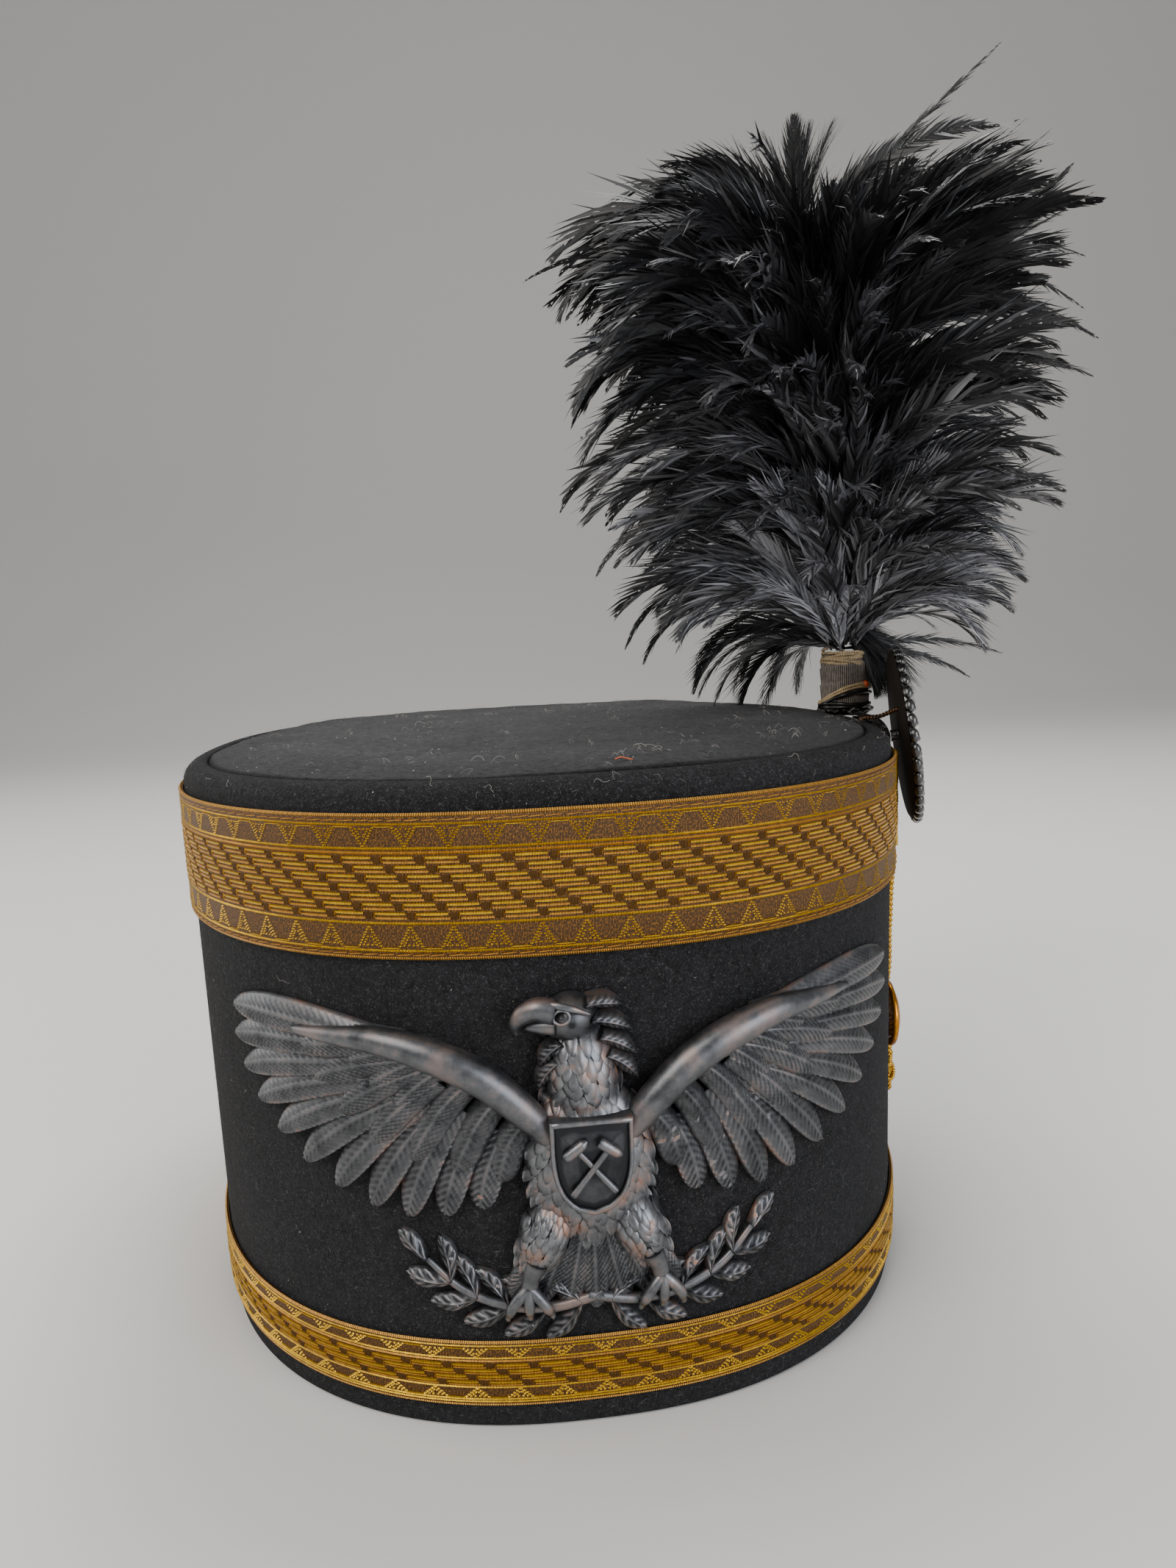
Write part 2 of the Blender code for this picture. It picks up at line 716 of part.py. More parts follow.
def make_rosette(hat, pieces):
    """The black rosette, and the wire that ties it to the rim."""
    mesh = turned_mesh("cockade", rosette_profile())
    rosette = add_object("cockade", mesh, "black_leather", hat, pieces)
    turn(rosette, 24)
    place = at_side(ROSETTE_STAND, ROSETTE_HEIGHT)
    face_outwards(rosette, place, ROSETTE_TURN, ROSETTE_TILT)
    front = -0.0072
    ends = (
        at_side(-0.0052, HAT_HEIGHT + 0.0011, front),
        at_side(-0.0010, HAT_HEIGHT + 0.0014, front),
        at_side(0.0030, HAT_HEIGHT + 0.0026, front),
    )
    tie = tube_curve("cockade_tie", ends, TIE_RADIUS)
    add_object("cockade_tie", tie, "iron_wire", hat, pieces)


# ---------------------------------------------------------------- the plume


def make_socket(hat, pieces):
    """The plain tube on the wall that takes the plume's pin."""
    inner, outer = SOCKET_RADII
    low, high = SOCKET_SPAN
    profile = [(inner, high), (outer, high), (outer, low), (inner, low), (inner, high)]
    mesh = turned_mesh("plume_socket", profile)
    socket = add_object("plume_socket", mesh, "black_leather", hat, pieces)
    turn(socket, 16)
    socket.location = (SOCKET_X, STEM_PLACE[1], 0.0)


def make_stem(hat, pieces, operands):
    """The bound stem that stands on the rim, with a pin down into the socket."""
    low, high = STEM_SPAN
    profile = [
        (0.0, high),
        (0.0052, high),
        (0.0066, high - 0.0012),
        (0.0063, high - 0.0040),
        (STEM_RADIUS, high - 0.0050),
        (STEM_RADIUS, low + 0.0012),
        (0.0058, low),
        (0.0, low),
    ]
    mesh = turned_mesh("plume_stem", profile)
    stem = add_object("plume_stem", mesh, "cloth_tape", hat, pieces)
    turn(stem, 16)
    stem.location = (*STEM_PLACE, 0.0)
    pin = bpy.data.meshes.new("plume_pin")
    shape = bmesh.new()
    length = low + 0.004 - (SOCKET_SPAN[0] + 0.006)
    bmesh.ops.create_cone(
        shape, cap_ends=True, segments=12, radius1=PIN_RADIUS, radius2=PIN_RADIUS, depth=length
    )
    shape.to_mesh(pin)
    shape.free()
    shank = add_operand("plume_pin", pin, hat, operands)
    shank.location = (SOCKET_X, STEM_PLACE[1], low + 0.004 - length / 2)
    join_collection(stem, operands)


def plume_axis(rise):
    """A point on the plume's leaning axis, this far above the stem's top."""
    foot = Vector((*STEM_PLACE, STEM_SPAN[1]))
    return foot + PLUME_LEAN * (rise / LEAN_HEIGHT) ** 1.5 + Vector((0.0, 0.0, rise))


def lock_mesh(turned, root, length, start, end, width):
    """A lock of feathers: it leaves the axis at its start angle from straight up, bends
    evenly to its end angle, and tapers to a point."""
    away = Vector((math.cos(turned), math.sin(turned), 0.0))
    side = Vector((-away.y, away.x, 0.0))
    upwards = Vector((0.0, 0.0, 1.0))
    spot = plume_axis(root)
    rings = []
    for step in range(1, LOCK_STEPS + 1):
        share = step / LOCK_STEPS
        lean = math.radians(start + (end - start) * share**1.15)
        spot = spot + (away * math.sin(lean) + upwards * math.cos(lean)) * (length / LOCK_STEPS)
        if step in LOCK_RINGS:
            face = upwards * math.sin(lean) - away * math.cos(lean)
            half = width * (0.55 + 0.9 * share - 1.40 * share**3)
            flat = half * 0.42
            rings.append([spot + side * half, spot + face * flat, spot - side * half, spot - face * flat])
    return loft_mesh("lock", np.array(rings))


def make_plume(hat, pieces, operands):
    """The plume: a bushy head on the stem, with tiers of locks fused to it, longer on the
    left than on the right and steeper to the front and back."""
    rings = []
    turns = np.linspace(0.0, 2 * math.pi, 12, endpoint=False)
    for rise, radius in HEAD_PROFILE:
        centre = np.array(plume_axis(rise))
        around = np.column_stack([np.cos(turns), np.sin(turns), np.zeros(len(turns))])
        rings.append(centre + radius * around)
    mesh = loft_mesh("plume", np.array(rings))
    plume = add_object("plume", mesh, "cock_feather", hat, pieces)
    for tier, (root, count, *sides, start, width) in enumerate(LOCK_TIERS):
        for i in range(count):
            turn = 2 * math.pi * (i + 0.5 * (tier % 2)) / count
            right, left = np.array(sides[:2]), np.array(sides[2:])
            length, end = right + (left - right) * (0.5 - 0.5 * math.cos(turn))
            facing = 1 - abs(math.cos(turn))
            forward = max(-math.sin(turn), 0.0)
            end -= STEEPER * facing * min(max(1.3 - tier / 4, 0), 1)
            low = max(root - 0.009 * facing - 0.0028 * forward * tier, 0.002)
            vary = 1.0 + 0.04 * math.sin(2.4 * i + tier)
            lock = lock_mesh(turn + PLUME_RIGHT, low, length * vary, start, end, width)
            add_operand(f"lock_{tier}_{i:02d}", lock, hat, operands)
    for i, (degrees, *shape) in enumerate(STRAY_LOCKS):
        lock = lock_mesh(math.radians(degrees) + PLUME_RIGHT, *shape)
        add_operand(f"stray_lock_{i}", lock, hat, operands)
    join_collection(plume, operands)


# ---------------------------------------------------------------- the whole shako


def main():
    """Builds every piece of the shako."""
    clear_scene()
    pieces = new_collection("shako")
    operands = {name: new_collection(name, hidden=True) for name in ("plate", "stem", "locks")}
    hat = bpy.data.objects.new("hat_centre", None)
    hat.location = OVAL_CENTRE
    pieces.objects.link(hat)
    make_body(hat, pieces)
    make_crown(hat, pieces)
    make_lace("upper_galloon", UPPER_LACE, hat, pieces)
    make_lace("lower_galloon", LOWER_LACE, hat, pieces)
    make_plate(hat, pieces, operands["plate"])
    make_tab(hat, pieces)
    make_braid(hat, pieces)
    make_cord(hat, pieces)
    make_knot(hat, pieces)
    make_button(hat, pieces)
    make_rosette(hat, pieces)
    make_socket(hat, pieces)
    make_stem(hat, pieces, operands["stem"])
    make_plume(hat, pieces, operands["locks"])


main()
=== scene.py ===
"""The looks of a parade shako: napped felt, woven gold lace, a cast eagle plate, a
pleated rosette with cord and button, and a plume of cock feathers.

It loads the packed solids as a frame and makes every visible piece around them. It
is laid out as an add-on, but it is run as a script.
"""

import math

import bpy
import numpy as np
from bpy.props import FloatProperty, FloatVectorProperty, IntProperty, PointerProperty
from mathutils import Matrix


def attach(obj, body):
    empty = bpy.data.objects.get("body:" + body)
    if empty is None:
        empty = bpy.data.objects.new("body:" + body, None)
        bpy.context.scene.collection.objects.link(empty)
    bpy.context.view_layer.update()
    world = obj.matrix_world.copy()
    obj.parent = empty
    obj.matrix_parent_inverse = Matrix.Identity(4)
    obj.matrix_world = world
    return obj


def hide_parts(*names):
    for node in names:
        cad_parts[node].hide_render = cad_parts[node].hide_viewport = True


bl_info = {
    "name": "Parade shako",
    "version": (1, 0, 0),
    "blender": (4, 5, 0),
    "location": "View3D > Sidebar > Shako",
    "description": "Makes the pieces of a parade shako hat around its packed solids",
    "category": "Add Mesh",
}

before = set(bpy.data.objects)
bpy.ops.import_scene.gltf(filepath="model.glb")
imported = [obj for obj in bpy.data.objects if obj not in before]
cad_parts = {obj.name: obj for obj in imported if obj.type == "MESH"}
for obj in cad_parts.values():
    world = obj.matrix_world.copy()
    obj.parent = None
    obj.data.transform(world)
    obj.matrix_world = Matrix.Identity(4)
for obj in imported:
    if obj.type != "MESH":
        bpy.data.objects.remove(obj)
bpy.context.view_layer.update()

MM = 0.001

# The oval felt wall, as the solids have it: a superellipse, a little narrower below.
# Sizes and places are in metres, apart from those that say millimetres.
HAT_CENTRE = np.array((-0.0312, 0.0038, 0.0))
HALF_WIDTH = 0.090
HALF_LENGTH = 0.104
OVAL_POWER = 2.35
TAPER = 0.012  # how far the wall leans in for each metre down
HAT_HEIGHT = 0.132
FELT = 0.003
RIM_ROUND = 0.0044
SEAM_INSET = 0.0058  # from the wall's outside in to the seam of the crown
LEDGE_INSET = 0.011  # and to the inner edge of the ledge that carries the crown
LEDGE_TOP = 0.1286
LACE_FACE = 0.0015  # how far the solids' lace stands off the wall
SIDE_LINE_Y = -0.024  # where the line of fittings on the left crosses the rim


# ---------------------------------------------------------------- colours and nodes


def linear(hex_colour):
    """Turns an sRGB hex colour into the linear values that Blender's shaders take."""
    parts = [int(hex_colour[i : i + 2], 16) / 255 for i in (1, 3, 5)]
    return tuple(p / 12.92 if p <= 0.04045 else ((p + 0.055) / 1.055) ** 2.4 for p in parts)


def feed(target, inputs):
    """Gives a node's sockets, by name or by number, their values or their links from
    other nodes' outputs. A node itself stands for its first output."""
    for socket, value in inputs.items():
        if isinstance(value, bpy.types.Node):
            value = value.outputs[0]
        if isinstance(value, bpy.types.NodeSocket):
            target.id_data.links.new(value, target.inputs[socket])
        else:
            target.inputs[socket].default_value = value


def node(tree, kind, inputs=None, **settings):
    """Adds a node with its own settings, and feeds its inputs."""
    made = tree.nodes.new(kind)
    for name, value in settings.items():
        setattr(made, name, value)
    feed(made, inputs or {})
    return made


def blank_material(name, **sockets):
    """A new material with only a Principled shader, whose sockets take these values.
    Returns the material, its node tree and the shader."""
    made = bpy.data.materials.new(name)
    made.use_nodes = True
    tree = made.node_tree
    shader = tree.nodes["Principled BSDF"]
    feed(shader, {socket.replace("_", " "): value for socket, value in sockets.items()})
    return made, tree, shader


def rgba(colour):
    """A colour with full alpha."""
    return (*colour, 1.0)


# ---------------------------------------------------------------- surfaces


def unit(vectors):
    """Vectors of length one."""
    return vectors / np.maximum(np.linalg.norm(vectors, axis=-1, keepdims=True), 1e-12)


def full_turn(count):
    """Angles round a circle. The last one stops short of the first."""
    return np.linspace(0.0, 2 * math.pi, count, endpoint=False)


def run_along(points):
    """The length of a path up to each of its points."""
    return np.concatenate([[0.0], np.cumsum(np.linalg.norm(np.diff(points, axis=0), axis=1))])


def lattice(down, over):
    """All pairs of a value down and a value over, as an array (down, over, 2)."""
    return np.stack(np.meshgrid(down, over, indexing="ij"), -1)


def volume(points, quads):
    """Six times the volume inside a closed grid, negative if its faces point inwards."""
    points = points.reshape(-1, 3) - points.mean((0, 1))
    a, b, c, d = (points[quads[:, k]] for k in range(4))
    return (np.cross(a, b) * c).sum() + (np.cross(a, c) * d).sum()


class Surfaces:
    """Gathers grids of points into one mesh.

    A grid is an array (copies, rows, columns, 3). Its neighbours make four-cornered
    faces, a wrapped side joins its last line to its first, and caps close the ends of
    a wrapped tube. flow is the piece's own UV map in millimetres, and tone a number
    from 0 up for each copy or point. The materials read both.
    """

    def __init__(self):
        self.points, self.tones, self.groups = [], [], []
        self.count = 0

    def add(self, points, flow=None, kind=0, tone=0.5, wrap=(False, False), caps=False):
        """Adds a grid, or many copies of one. kind is the number of its material."""
        points = np.asarray(points, float)
        rows, columns = points.shape[-3:-1]
        points = points.reshape(-1, rows, columns, 3)
        copies = len(points)
        down, over = rows + wrap[0], columns + wrap[1]
        if flow is None:
            flow = lattice(np.arange(down), np.arange(over))
        flow = np.broadcast_to(flow, (copies, down, over, 2))
        i, j = lattice(np.arange(down - 1), np.arange(over - 1)).reshape(-1, 2).T
        steps = ((0, 0), (0, 1), (1, 1), (1, 0))
        quads = np.stack([(i + a) % rows * columns + (j + b) % columns for a, b in steps], -1)
        marks = np.stack([flow[:, i + a, j + b] for a, b in steps], 2)
        start = self.count + np.arange(copies)[:, None, None] * rows * columns
        flip = wrap[1] and (caps or wrap[0]) and volume(points[0], quads) < 0
        self.keep(start + quads, marks, kind, flip)
        if caps:
            ring = np.arange(columns)
            for first, row in ((True, 0), (False, rows - 1)):
                face = ring if first else ring[::-1] + row * columns
                spots = flow[:, row, face % columns][:, None]
                self.keep(start + face, spots, kind, flip)
        self.points.append(points.reshape(-1, 3))
        tone = np.asarray(tone, float)
        tone = tone[:, None, None] if tone.ndim == 1 else tone
        self.tones.append(np.broadcast_to(tone, (copies, rows, columns)).ravel())
        self.count += copies * rows * columns

    def rods(self, points, flow=None, kind=0, tone=0.5):
        """Adds tubes: grids wrapped round, with caps at both ends."""
        self.add(points, flow, kind, tone, wrap=(False, True), caps=True)

    def keep(self, faces, marks, kind, flip):
        """Keeps faces of one size with their UVs and material."""
        size = faces.shape[-1]
        faces, marks = faces.reshape(-1, size), marks.reshape(-1, size, 2)
        if flip:
            faces, marks = faces[:, ::-1], marks[:, ::-1]
        self.groups.append((faces, marks, np.full(len(faces), kind)))

    def piece(self, name, slot, materials, stands_for=(), sharp=50.0):
        """Makes the object with its materials, hangs it on the root body and hides the solids that it stands
        for.
        """
        mesh = bpy.data.meshes.new(name)
        sizes = np.concatenate([np.full(len(f), f.shape[1]) for f, _, _ in self.groups])
        corners = np.concatenate([f.ravel() for f, _, _ in self.groups])
        mesh.vertices.add(self.count)
        mesh.vertices.foreach_set("co", np.concatenate(self.points).astype(np.float32).ravel())
        mesh.loops.add(len(corners))
        mesh.loops.foreach_set("vertex_index", corners.astype(np.int32))
        mesh.polygons.add(len(sizes))
        starts = np.concatenate([[0], np.cumsum(sizes)[:-1]])
        mesh.polygons.foreach_set("loop_start", starts.astype(np.int32))
        kinds = np.concatenate([k for _, _, k in self.groups])
        mesh.polygons.foreach_set("material_index", kinds.astype(np.int32))
        mesh.update(calc_edges=True)
        flow = mesh.uv_layers.new(name="flow")
        marks = np.concatenate([m.reshape(-1, 2) for _, m, _ in self.groups])
        flow.data.foreach_set("uv", marks.astype(np.float32).ravel())
        tone = mesh.attributes.new("tone", "FLOAT", "POINT")
        tone.data.foreach_set("value", np.concatenate(self.tones).astype(np.float32))
        mesh.shade_smooth()
        mesh.set_sharp_from_angle(angle=math.radians(sharp))
        for material in materials:
            mesh.materials.append(material)
        made = bpy.data.objects.new(name, mesh)
        bpy.context.scene.collection.objects.link(made)
        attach(made, "root")
        if stands_for:
            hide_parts(*stands_for)
        return made


def path_frames(path, reference):
    """Unit tangent, side and normal along paths (..., steps, 3). The side is square to
    the tangent and to the reference direction."""
    along = unit(np.gradient(path, axis=-2))
    side = unit(np.cross(along, reference))
    return along, side, np.cross(side, along)


def smooth_path(points, run, t):
    """A Catmull-Rom curve: a cubic from each point to the next, whose slope at a point
    is that of the line between its two neighbours."""
    slopes = np.gradient(points, run, axis=0)
    k = np.clip(np.searchsorted(run, t, side="right") - 1, 0, len(run) - 2)
    span = (run[k + 1] - run[k])[:, None]
    u = (t - run[k])[:, None] / span
    here = (2 * u**3 - 3 * u**2 + 1) * points[k] + (u**3 - 2 * u**2 + u) * span * slopes[k]
    return here + (-2 * u**3 + 3 * u**2) * points[k + 1] + (u**3 - u**2) * span * slopes[k + 1]


def tube_grid(path, radius, around, reference=(0.0, 0.0, 1.0)):
    """A round bar along each path: circles of that radius, square to the path."""
    path = np.asarray(path, float)
    _, side, normal = path_frames(path, reference)
    turns = full_turn(around)[:, None]
    ring = np.cos(turns) * side[..., None, :] + np.sin(turns) * normal[..., None, :]
    radius = np.broadcast_to(radius, path.shape[:-1])
    return path[..., None, :] + radius[..., None, None] * ring


# ---------------------------------------------------------------- the oval wall


def oval_points(turns, height, outwards):
    """Points on the wall: a superellipse with the half axes of that height, moved
    outwards along its own normal."""
    turns, height, outwards = np.broadcast_arrays(turns, height, outwards)
    half_x = HALF_WIDTH - TAPER * (HAT_HEIGHT - height)
    half_y = HALF_LENGTH - TAPER * (HAT_HEIGHT - height)
    across, along = np.cos(turns), np.sin(turns)
    x = half_x * np.sign(across) * np.abs(across) ** (2 / OVAL_POWER)
    y = half_y * np.sign(along) * np.abs(along) ** (2 / OVAL_POWER)
    out = np.stack([np.sign(x) * np.abs(x / half_x) ** (OVAL_POWER - 1) / half_x,
                    np.sign(y) * np.abs(y / half_y) ** (OVAL_POWER - 1) / half_y], -1)
    out = unit(out) * outwards[..., None]
    return np.stack([x + out[..., 0], y + out[..., 1], height], -1) + HAT_CENTRE


def arc_table():
    """Turns all round from the back, and the arc length in millimetres at each, which
    is zero at the front."""
    turns = np.linspace(-1.5 * math.pi, 0.5 * math.pi, 8 * 360 + 1)
    length = run_along(oval_points(turns, HAT_HEIGHT / 2, 0.0)) / MM
    return turns, length - np.interp(-0.5 * math.pi, turns, length)


ARC_TURNS, ARC_LENGTHS = arc_table()
ROUND = ARC_LENGTHS[-1] - ARC_LENGTHS[0]


def on_wall(flat):
    """Bends flat millimetres (along the wall from the front, up, outwards) onto it."""
    flat = np.asarray(flat, float)
    along = (flat[..., 0] - ARC_LENGTHS[0]) % ROUND + ARC_LENGTHS[0]
    turns = np.interp(along, ARC_LENGTHS, ARC_TURNS)
    return oval_points(turns, flat[..., 1] * MM, flat[..., 2] * MM)


def swept(profile, steps):
    """A profile of (outwards, height) points in millimetres, carried round the wall.
    Returns the grid and its UVs."""
    profile = np.asarray(profile, float)
    along = np.linspace(ARC_LENGTHS[0], ARC_LENGTHS[-1], steps, endpoint=False)
    flat = np.empty((steps, len(profile), 3))
    flat[..., 0] = along[:, None]
    flat[..., 1] = profile[:, 1]
    flat[..., 2] = profile[:, 0]
    run = run_along(np.vstack([profile, profile[:1]]))
    along = np.linspace(ARC_LENGTHS[0], ARC_LENGTHS[-1], steps + 1)
    return flat, lattice(along, run)


ARCHED = (-0.15, 0.95, 2.19, 3.29)  # round a low bar with a flat foot, in radians
RIDGED = (-0.15, 1.57, 3.29)
WEDGED = (0.0, 2.09, 4.19)  # with one slope, which faces up and catches the light


def pillows(spots, half_long, half_wide, base, rise, rings=5, turns=ARCHED, blunt=4.0, lean=0.0):
    """Small raised bars on the wall, in flat millimetres: each is a tube along the wall
    whose size follows (1 - t^blunt)^(1/blunt) from end to end, so its ends are blunt
    and round. turns are the angles round it, and lean turns it in the wall's plane."""
    spots = np.asarray(spots, float).reshape(-1, 2)
    share = np.linspace(-0.985, 0.985, rings)
    size = (1 - np.abs(share) ** blunt) ** (1 / blunt)
    turns = np.array(turns)
    shape = (len(spots), rings, len(turns))
    half_long, half_wide, base, rise, lean = (
        np.broadcast_to(np.asarray(v, float).reshape(-1, 1, 1), (len(spots), 1, 1))
        for v in (half_long, half_wide, base, rise, lean)
    )
    along = np.broadcast_to(half_long * share[:, None], shape)
    across = half_wide * size[:, None] * np.cos(turns)
    x = spots[:, 0, None, None] + along * np.cos(lean) - across * np.sin(lean)
    y = spots[:, 1, None, None] + along * np.sin(lean) + across * np.cos(lean)
    z = np.broadcast_to(base + rise * size[:, None] * np.sin(turns), shape)
    wide = np.concatenate([across, across[..., :1]], -1)
    flow = np.stack([np.broadcast_to(along[..., :1], wide.shape) + spots[:, 0, None, None], wide], -1)
    return np.stack([x, y, z], -1), flow


# ---------------------------------------------------------------- materials

# A Mix node that mixes colours has its factor at 0, its two colours at 6 and 7, and
# the mixed colour at output 2. A Map Range node has its value at 0, the range that it
# comes from at 1 and 2, and the range that it goes to at 3 and 4.


def napped_felt(name, settings, nap_colour, sheen):
    """Napped black wool felt: matt, with clumps of nap a few millimetres wide, fine
    grey fibres in it and a soft sheen at grazing angles. A tone below 0.5 paints shade,
    darkening it to black at 0, as in the seam; 0.5 and more is open felt."""
    made, tree, shader = blank_material(
        name, Roughness=0.96, Specular_IOR_Level=0.2,
        Sheen_Weight=sheen, Sheen_Roughness=0.5, Sheen_Tint=rgba(settings.hair_colour),
    )
    place = node(tree, "ShaderNodeTexCoord").outputs["Object"]
    # 1.6 mm clumps of nap, 0.4 mm fibres, and worn patches a few centimetres wide.
    clumps = node(tree, "ShaderNodeTexNoise",
                  {"Vector": place, "Scale": 640.0, "Detail": 5.0, "Roughness": 0.7})
    fibres = node(tree, "ShaderNodeTexNoise",
                  {"Vector": place, "Scale": 2500.0, "Detail": 2.0, "Distortion": 1.4})
    worn = node(tree, "ShaderNodeTexNoise", {"Vector": place, "Scale": 45.0, "Detail": 3.0})
    even = node(tree, "ShaderNodeMapRange", {0: worn, 1: 0.3, 2: 0.7, 3: 0.88, 4: 1.12})
    dull = node(tree, "ShaderNodeMath", {0: clumps, 1: even}, operation="MULTIPLY")
    share = node(tree, "ShaderNodeMapRange", {0: dull, 1: 0.32, 2: 0.72})
    nap = node(tree, "ShaderNodeMix", {0: share, 6: rgba(settings.felt_colour),
                                       7: rgba(nap_colour)}, data_type="RGBA")
    bright = node(tree, "ShaderNodeMapRange", {0: fibres, 1: 0.55, 2: 0.80, 4: 0.7})
    hairs = node(tree, "ShaderNodeMix", {0: bright, 6: nap.outputs[2],
                                         7: rgba(settings.hair_colour)}, data_type="RGBA")
    # Painted shade: where the tone is under 0.5 the colour is mixed towards black.
    tone = node(tree, "ShaderNodeAttribute", attribute_name="tone")
    painted_shade = node(tree, "ShaderNodeMapRange", {0: tone.outputs["Fac"], 2: 0.5})
    shaded = node(tree, "ShaderNodeMix", {0: painted_shade, 6: rgba((0.0, 0.0, 0.0)), 7: hairs.outputs[2]},
                  data_type="RGBA")
    rough = node(tree, "ShaderNodeMath", {0: clumps, 1: fibres}, operation="ADD")
    bump = node(tree, "ShaderNodeBump", {"Height": rough, "Strength": 0.9, "Distance": 0.0008})
    feed(shader, {"Base Color": shaded.outputs[2], "Normal": bump})
    return made


def toned(name, dark, light, power=1.0, **sockets):
    """A plain fibre or feather whose colour runs from dark to light with its tone."""
    made, tree, shader = blank_material(name, **sockets)
    tone = node(tree, "ShaderNodeAttribute", attribute_name="tone")
    share = node(tree, "ShaderNodeMath", {0: tone.outputs["Fac"], 1: power}, operation="POWER")
    mixed = node(tree, "ShaderNodeMix", {0: share, 6: rgba(dark), 7: rgba(light)}, data_type="RGBA")
    feed(shader, {"Base Color": mixed.outputs[2]})
    return made


def wound_thread(name, groove, crest_highlight, pitch, along=0, depth=0.00012, **sockets):
    """Thread wound or woven in ridges that are pitch millimetres apart along one axis
    of the piece's own UV map: the thread's colour, with its grooves painted darker as shade
    and its crests painted bright as highlight, and a little change of colour from thread to thread."""
    made, tree, shader = blank_material(name, **sockets)
    flow = node(tree, "ShaderNodeUVMap", uv_map="flow")
    parts = node(tree, "ShaderNodeSeparateXYZ", {0: flow})
    turn = node(tree, "ShaderNodeMath", {0: parts.outputs[along], 1: 2 * math.pi / pitch},
                operation="MULTIPLY")
    wave = node(tree, "ShaderNodeMath", {0: turn}, operation="SINE")
    ridge = node(tree, "ShaderNodeMapRange", {0: wave, 1: -1.0, 2: 0.9})
    place = node(tree, "ShaderNodeTexCoord").outputs["Object"]
    uneven = node(tree, "ShaderNodeTexNoise", {"Vector": place, "Scale": 900.0, "Detail": 3.0})
    spread = node(tree, "ShaderNodeMapRange", {0: uneven, 1: 0.3, 2: 0.7, 3: 0.55})
    share = node(tree, "ShaderNodeMath", {0: ridge, 1: spread}, operation="MULTIPLY")
    # Painted light: the colour runs from the groove's painted shade to the crest's painted highlight with
    # the ridge.
    mixed = node(tree, "ShaderNodeMix", {0: share, 6: rgba(groove), 7: rgba(crest_highlight)}, data_type="RGBA")
    bump = node(tree, "ShaderNodeBump", {"Height": ridge, "Strength": 0.7, "Distance": depth})
    feed(shader, {"Base Color": mixed.outputs[2], "Normal": bump})
    return made


# ---------------------------------------------------------------- felt body and crown

ROUND_STEPS = 300  # of the wall and of the crown, round the hat
CROWN_EDGE = -(SEAM_INSET + 0.0002)  # from the wall's outside, just past the seam's side
STITCHES = 118
STITCH_RADIUS = 0.00022
HAIR_HALF_WIDTH = 0.022 * MM
LINT_RADIUS = 0.000023
SPECK_RADIUS = 0.00006
SLANT = (0.3, 0.5, 0.8)  # a direction that no flat curl of lint lies along
RIM_LINT, WALL_LINT, SEAM_LINT = 64, 12, 50  # curls on the rim, low on the wall, at the seam
WALL_SPECKS = 120
TUFT = 3  # curls in a tuft of lint
FIBRE_START = np.array((0.0095, -0.0941, 0.1337))  # one stray orange fibre on the crown
FIBRE_RUN = (0.0036, 0.0011, 0.0)
FIBRE_RADIUS = 0.00013


def body_profile():
    """The felt wall in section, in millimetres (outwards, height), from the lower edge
    up the outside, round the rim, into the seam, over the ledge and down the inside."""
    top, rim, seam, ledge, shelf, felt = (
        v / MM for v in (HAT_HEIGHT, RIM_ROUND, SEAM_INSET, LEDGE_INSET, LEDGE_TOP, FELT)
    )
    bevel = 0.7
    wall = [(0.0, z) for z in np.linspace(bevel, top - rim, 30, endpoint=False)]
    arc = [(-rim * (1 - math.cos(a)), top - rim * (1 - math.sin(a))) for a in np.linspace(0, math.pi / 2, 9)]
    groove = [(-seam + 0.3, top - 0.12), (-seam + 0.04, top - 0.6), (-seam, top - 1.6), (-seam, shelf)]
    foot = shelf - 3.0
    inside = [(-ledge, shelf), (-ledge, foot), (-4.6, foot - 1.6)]
    inside += [(-felt, z) for z in np.linspace(foot - 4.0, bevel, 14)]
    return [(-bevel, 0.0), *wall, *arc, *groove, *inside, (-felt + bevel, 0.0)]


def felt_waves(along, height):
    """How far the felt wall stands out of true, in millimetres: two sines round the
    hat, of 3 and 7 waves, that fade at the rim and the lower edge."""
    turn = 2 * math.pi * along / ROUND
    swell = 0.11 * np.sin(3 * turn + 0.8) + 0.08 * np.sin(7 * turn + 2.1 + height / 40)
    return swell * np.sin(math.pi * np.clip(height / 126.0, 0, 1)) ** 0.5


def make_felt_body(settings):
    """The hollow felt wall: its section carried round the oval, with slow swells."""
    flat, flow = swept(body_profile(), ROUND_STEPS)
    flat[..., 2] += felt_waves(flat[..., 0], flat[..., 1])
    shape = Surfaces()
    # Painted shade: the felt in the seam's groove gets a tone of 0, which the felt material paints black.
    seam_shade_mask = np.isclose(flat[..., 2], -SEAM_INSET / MM, atol=0.15) & (flat[..., 1] > LEDGE_TOP / MM)
    shape.add(on_wall(flat), flow, wrap=(True, True), tone=np.where(seam_shade_mask, 0.0, 0.5)[None])
    felt = napped_felt("Napped wool felt", settings, settings.wall_colour, sheen=0.14)
    shape.piece("felt_wall", "felt", [felt], ["felt_body"], sharp=60.0)


